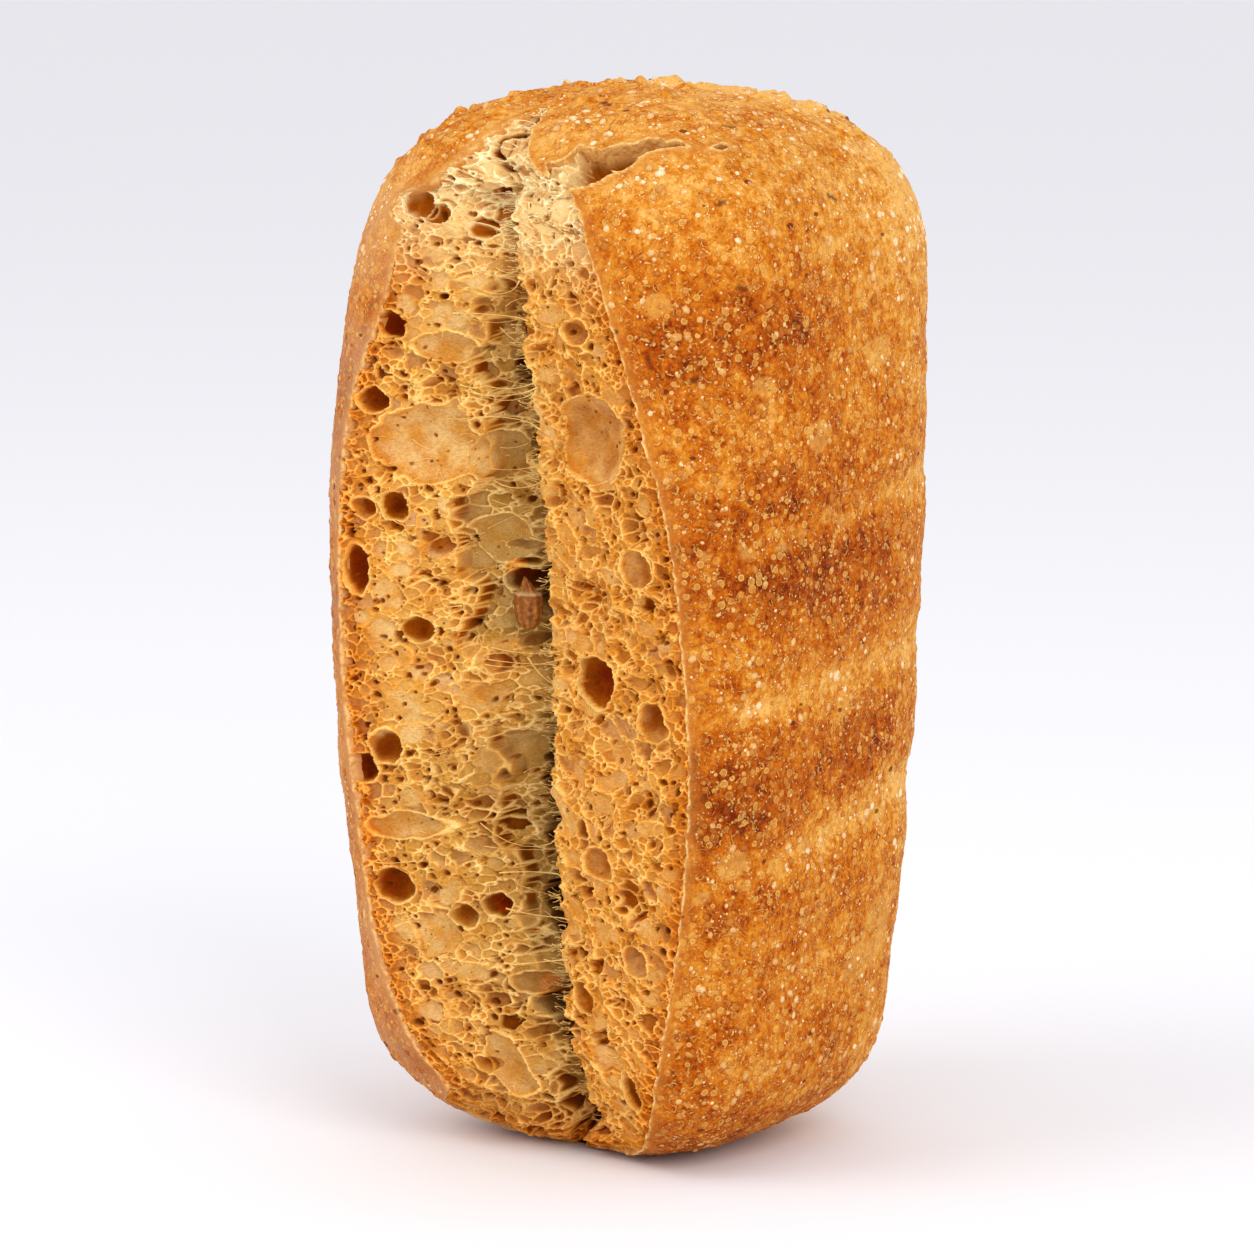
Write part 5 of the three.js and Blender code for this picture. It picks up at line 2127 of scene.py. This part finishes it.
@dataclass
class Seed:
    """The whole grain that sits in the crack, barrel below and pointed above."""

    crumb: Crumb
    across: float = -3.6
    way: float = 0.532
    depth: float = 2.6
    half_sizes: Three = (2.9, 2.4, 5.0)
    ring_at: float = 0.38
    lean: float = -0.2
    rows: int = 40
    columns: int = 28

    def build(self, material: Material) -> None:
        """Turn the grain's outline round its axis.

        Args:
            material: the husk.
        """
        along = -np.cos(np.linspace(0, math.pi, self.rows))[:, None]
        around = np.linspace(0, 2 * math.pi, self.columns, endpoint=False)[None, :]
        barrel = (1 - np.abs(along) ** 3) ** (1 / 2.4)
        point = (1 - np.clip(along, 0, 1)) ** 0.8
        above = ease(self.ring_at - 0.06, self.ring_at + 0.06, along)
        ring = bell(along - self.ring_at, 0.05)
        radius = barrel * (1 - above) + point * 0.95 * above + 0.05 * ring
        radius = radius * (1 + 0.03 * np.sin(SeedFinish.streaks * around))
        wide, deep, tall = self.half_sizes
        lean = self.lean * tall * np.clip(along, 0, 1) ** 2 * np.ones_like(around)
        x = radius * np.cos(around) * wide + lean
        y = radius * np.sin(around) * deep
        z = along * tall * np.ones_like(around)
        up = float(np.interp(self.way, self.crumb.ways, self.crumb.run))
        middle = self.crumb.on_loaf(np.array([[self.across, up, self.depth]]))[0]
        points = np.stack([x, y, z], -1).reshape(-1, 3) + middle
        number = np.arange(self.rows * self.columns).reshape(self.rows, self.columns)
        number[0], number[-1] = number[0, 0], number[-1, 0]
        after = np.roll(number, -1, 1)
        first = np.stack([number[:-1], after[:-1], after[1:]], -1).reshape(-1, 3)
        second = np.stack([number[:-1], after[1:], number[1:]], -1).reshape(-1, 3)
        faces = np.concatenate([first, second])
        faces = faces[whole_faces(faces)]
        flat = np.ones_like(radius)
        values = {"around": (around * flat).ravel(), "ring": (ring * flat).ravel()}
        uv = np.stack([around / (2 * math.pi) * flat, (along * 0.5 + 0.5) * flat], -1)
        uv = uv.reshape(-1, 2)[faces]
        patch = kept_part(Patch("seed", points, faces, values, uv), "seed", slice(None))
        patch.normals = point_normals(patch.points, patch.faces)
        add_piece(patch.name, new_mesh(patch, material))


@dataclass
class Studio:
    """Pale floor, soft light and the camera at the photograph's angle."""

    form: LoafForm
    azimuth: float = 35.0
    elevation: float = 8.5
    distance: float = 1100.0
    aim_height: float = 98.6
    frame_pixels: float = 1254.0
    pixels_per_mm: float = 5.22
    floor_radius: float = 14.0
    floor_corners: int = 96
    floor_colour: str = "#f4f4f6"
    floor_roughness: float = 0.9
    sky_colour: str = "#f6f6fa"
    sky: float = 0.95
    lamp_aim: Three = (0, 0, 0.1)
    # Name, place, width and power of each lamp
    lamps: tuple[tuple[str, Three, float, float], ...] = (
        ("key", (-0.7, -1.0, 1.1), 0.9, 6.5),
        ("fill", (1.2, -0.7, 0.9), 0.9, 9.5),
    )

    def camera(self) -> None:
        """Set the camera."""
        data = bpy.data.cameras.new("camera")
        data.sensor_fit = "HORIZONTAL"
        data.angle = 2 * math.atan(self.frame_pixels / 2 / self.pixels_per_mm / self.distance)
        data.clip_end = 40.0
        camera = bpy.data.objects.new("camera", data)
        turn = math.radians(self.azimuth)
        rise = math.radians(self.elevation)
        aim = Vector((self.form.offset[0], self.form.offset[1], self.aim_height)) * MM
        way = Vector((math.sin(turn) * math.cos(rise), -math.cos(turn) * math.cos(rise), math.sin(rise)))
        camera.location = aim + way * self.distance * MM
        camera.rotation_euler = way.to_track_quat("Z", "Y").to_euler()
        bpy.context.scene.collection.objects.link(camera)
        bpy.context.scene.camera = camera

    def lamp(self, name: str, place: Three, size: float, power: float) -> None:
        """Add a soft square lamp that points at the loaf's middle.

        Args:
            name: name of the lamp.
            place: where it hangs, in metres.
            size: its width in metres.
            power: its power in watts.
        """
        data = bpy.data.lights.new(name, "AREA")
        data.size = size
        data.energy = power
        lamp = bpy.data.objects.new(name, data)
        lamp.location = place
        way = Vector(place) - Vector(self.lamp_aim)
        lamp.rotation_euler = way.to_track_quat("Z", "Y").to_euler()
        bpy.context.scene.collection.objects.link(lamp)

    def floor(self) -> None:
        """Lay a pale round floor out to the horizon."""
        turns = np.linspace(0, 2 * math.pi, self.floor_corners, endpoint=False)
        points = [(self.floor_radius * math.cos(t), self.floor_radius * math.sin(t), 0.0) for t in turns]
        mesh = bpy.data.meshes.new("floor")
        mesh.from_pydata(points, [], [tuple(range(self.floor_corners))])
        material, t = new_material("matt_white_paper")
        t.surface({"Base Color": linear(self.floor_colour), "Roughness": self.floor_roughness})
        mesh.materials.append(material)
        floor = bpy.data.objects.new("floor", mesh)
        bpy.context.scene.collection.objects.link(floor)

    def build(self) -> None:
        """Make the studio."""
        self.camera()
        self.floor()
        world = bpy.data.worlds.new("studio")
        world.use_nodes = True
        back = world.node_tree.nodes["Background"]
        back.inputs["Color"].default_value = linear(self.sky_colour)
        back.inputs["Strength"].default_value = self.sky
        bpy.context.scene.world = world
        for lamp in self.lamps:
            self.lamp(*lamp)
        bpy.context.scene.view_settings.view_transform = "Standard"


def main() -> None:
    """Build the studio and the loaf's pieces in order."""
    logging.basicConfig(level=logging.INFO, format="%(message)s")
    form = LoafForm()
    Studio(form).build()
    crumb_material = CrumbFinish().material()
    tear = CrownTear(form)
    skin = Crust(form, tear).build(CrustFinish().material())
    Blisters().build(skin, BlisterFinish().material())
    tear.build(crumb_material)
    crumb = Crumb(form)
    crumb.build(crumb_material)
    Strands(crumb).build(crumb_material)
    Seed(crumb).build(SeedFinish().material())


if __name__ == "__main__":
    main()
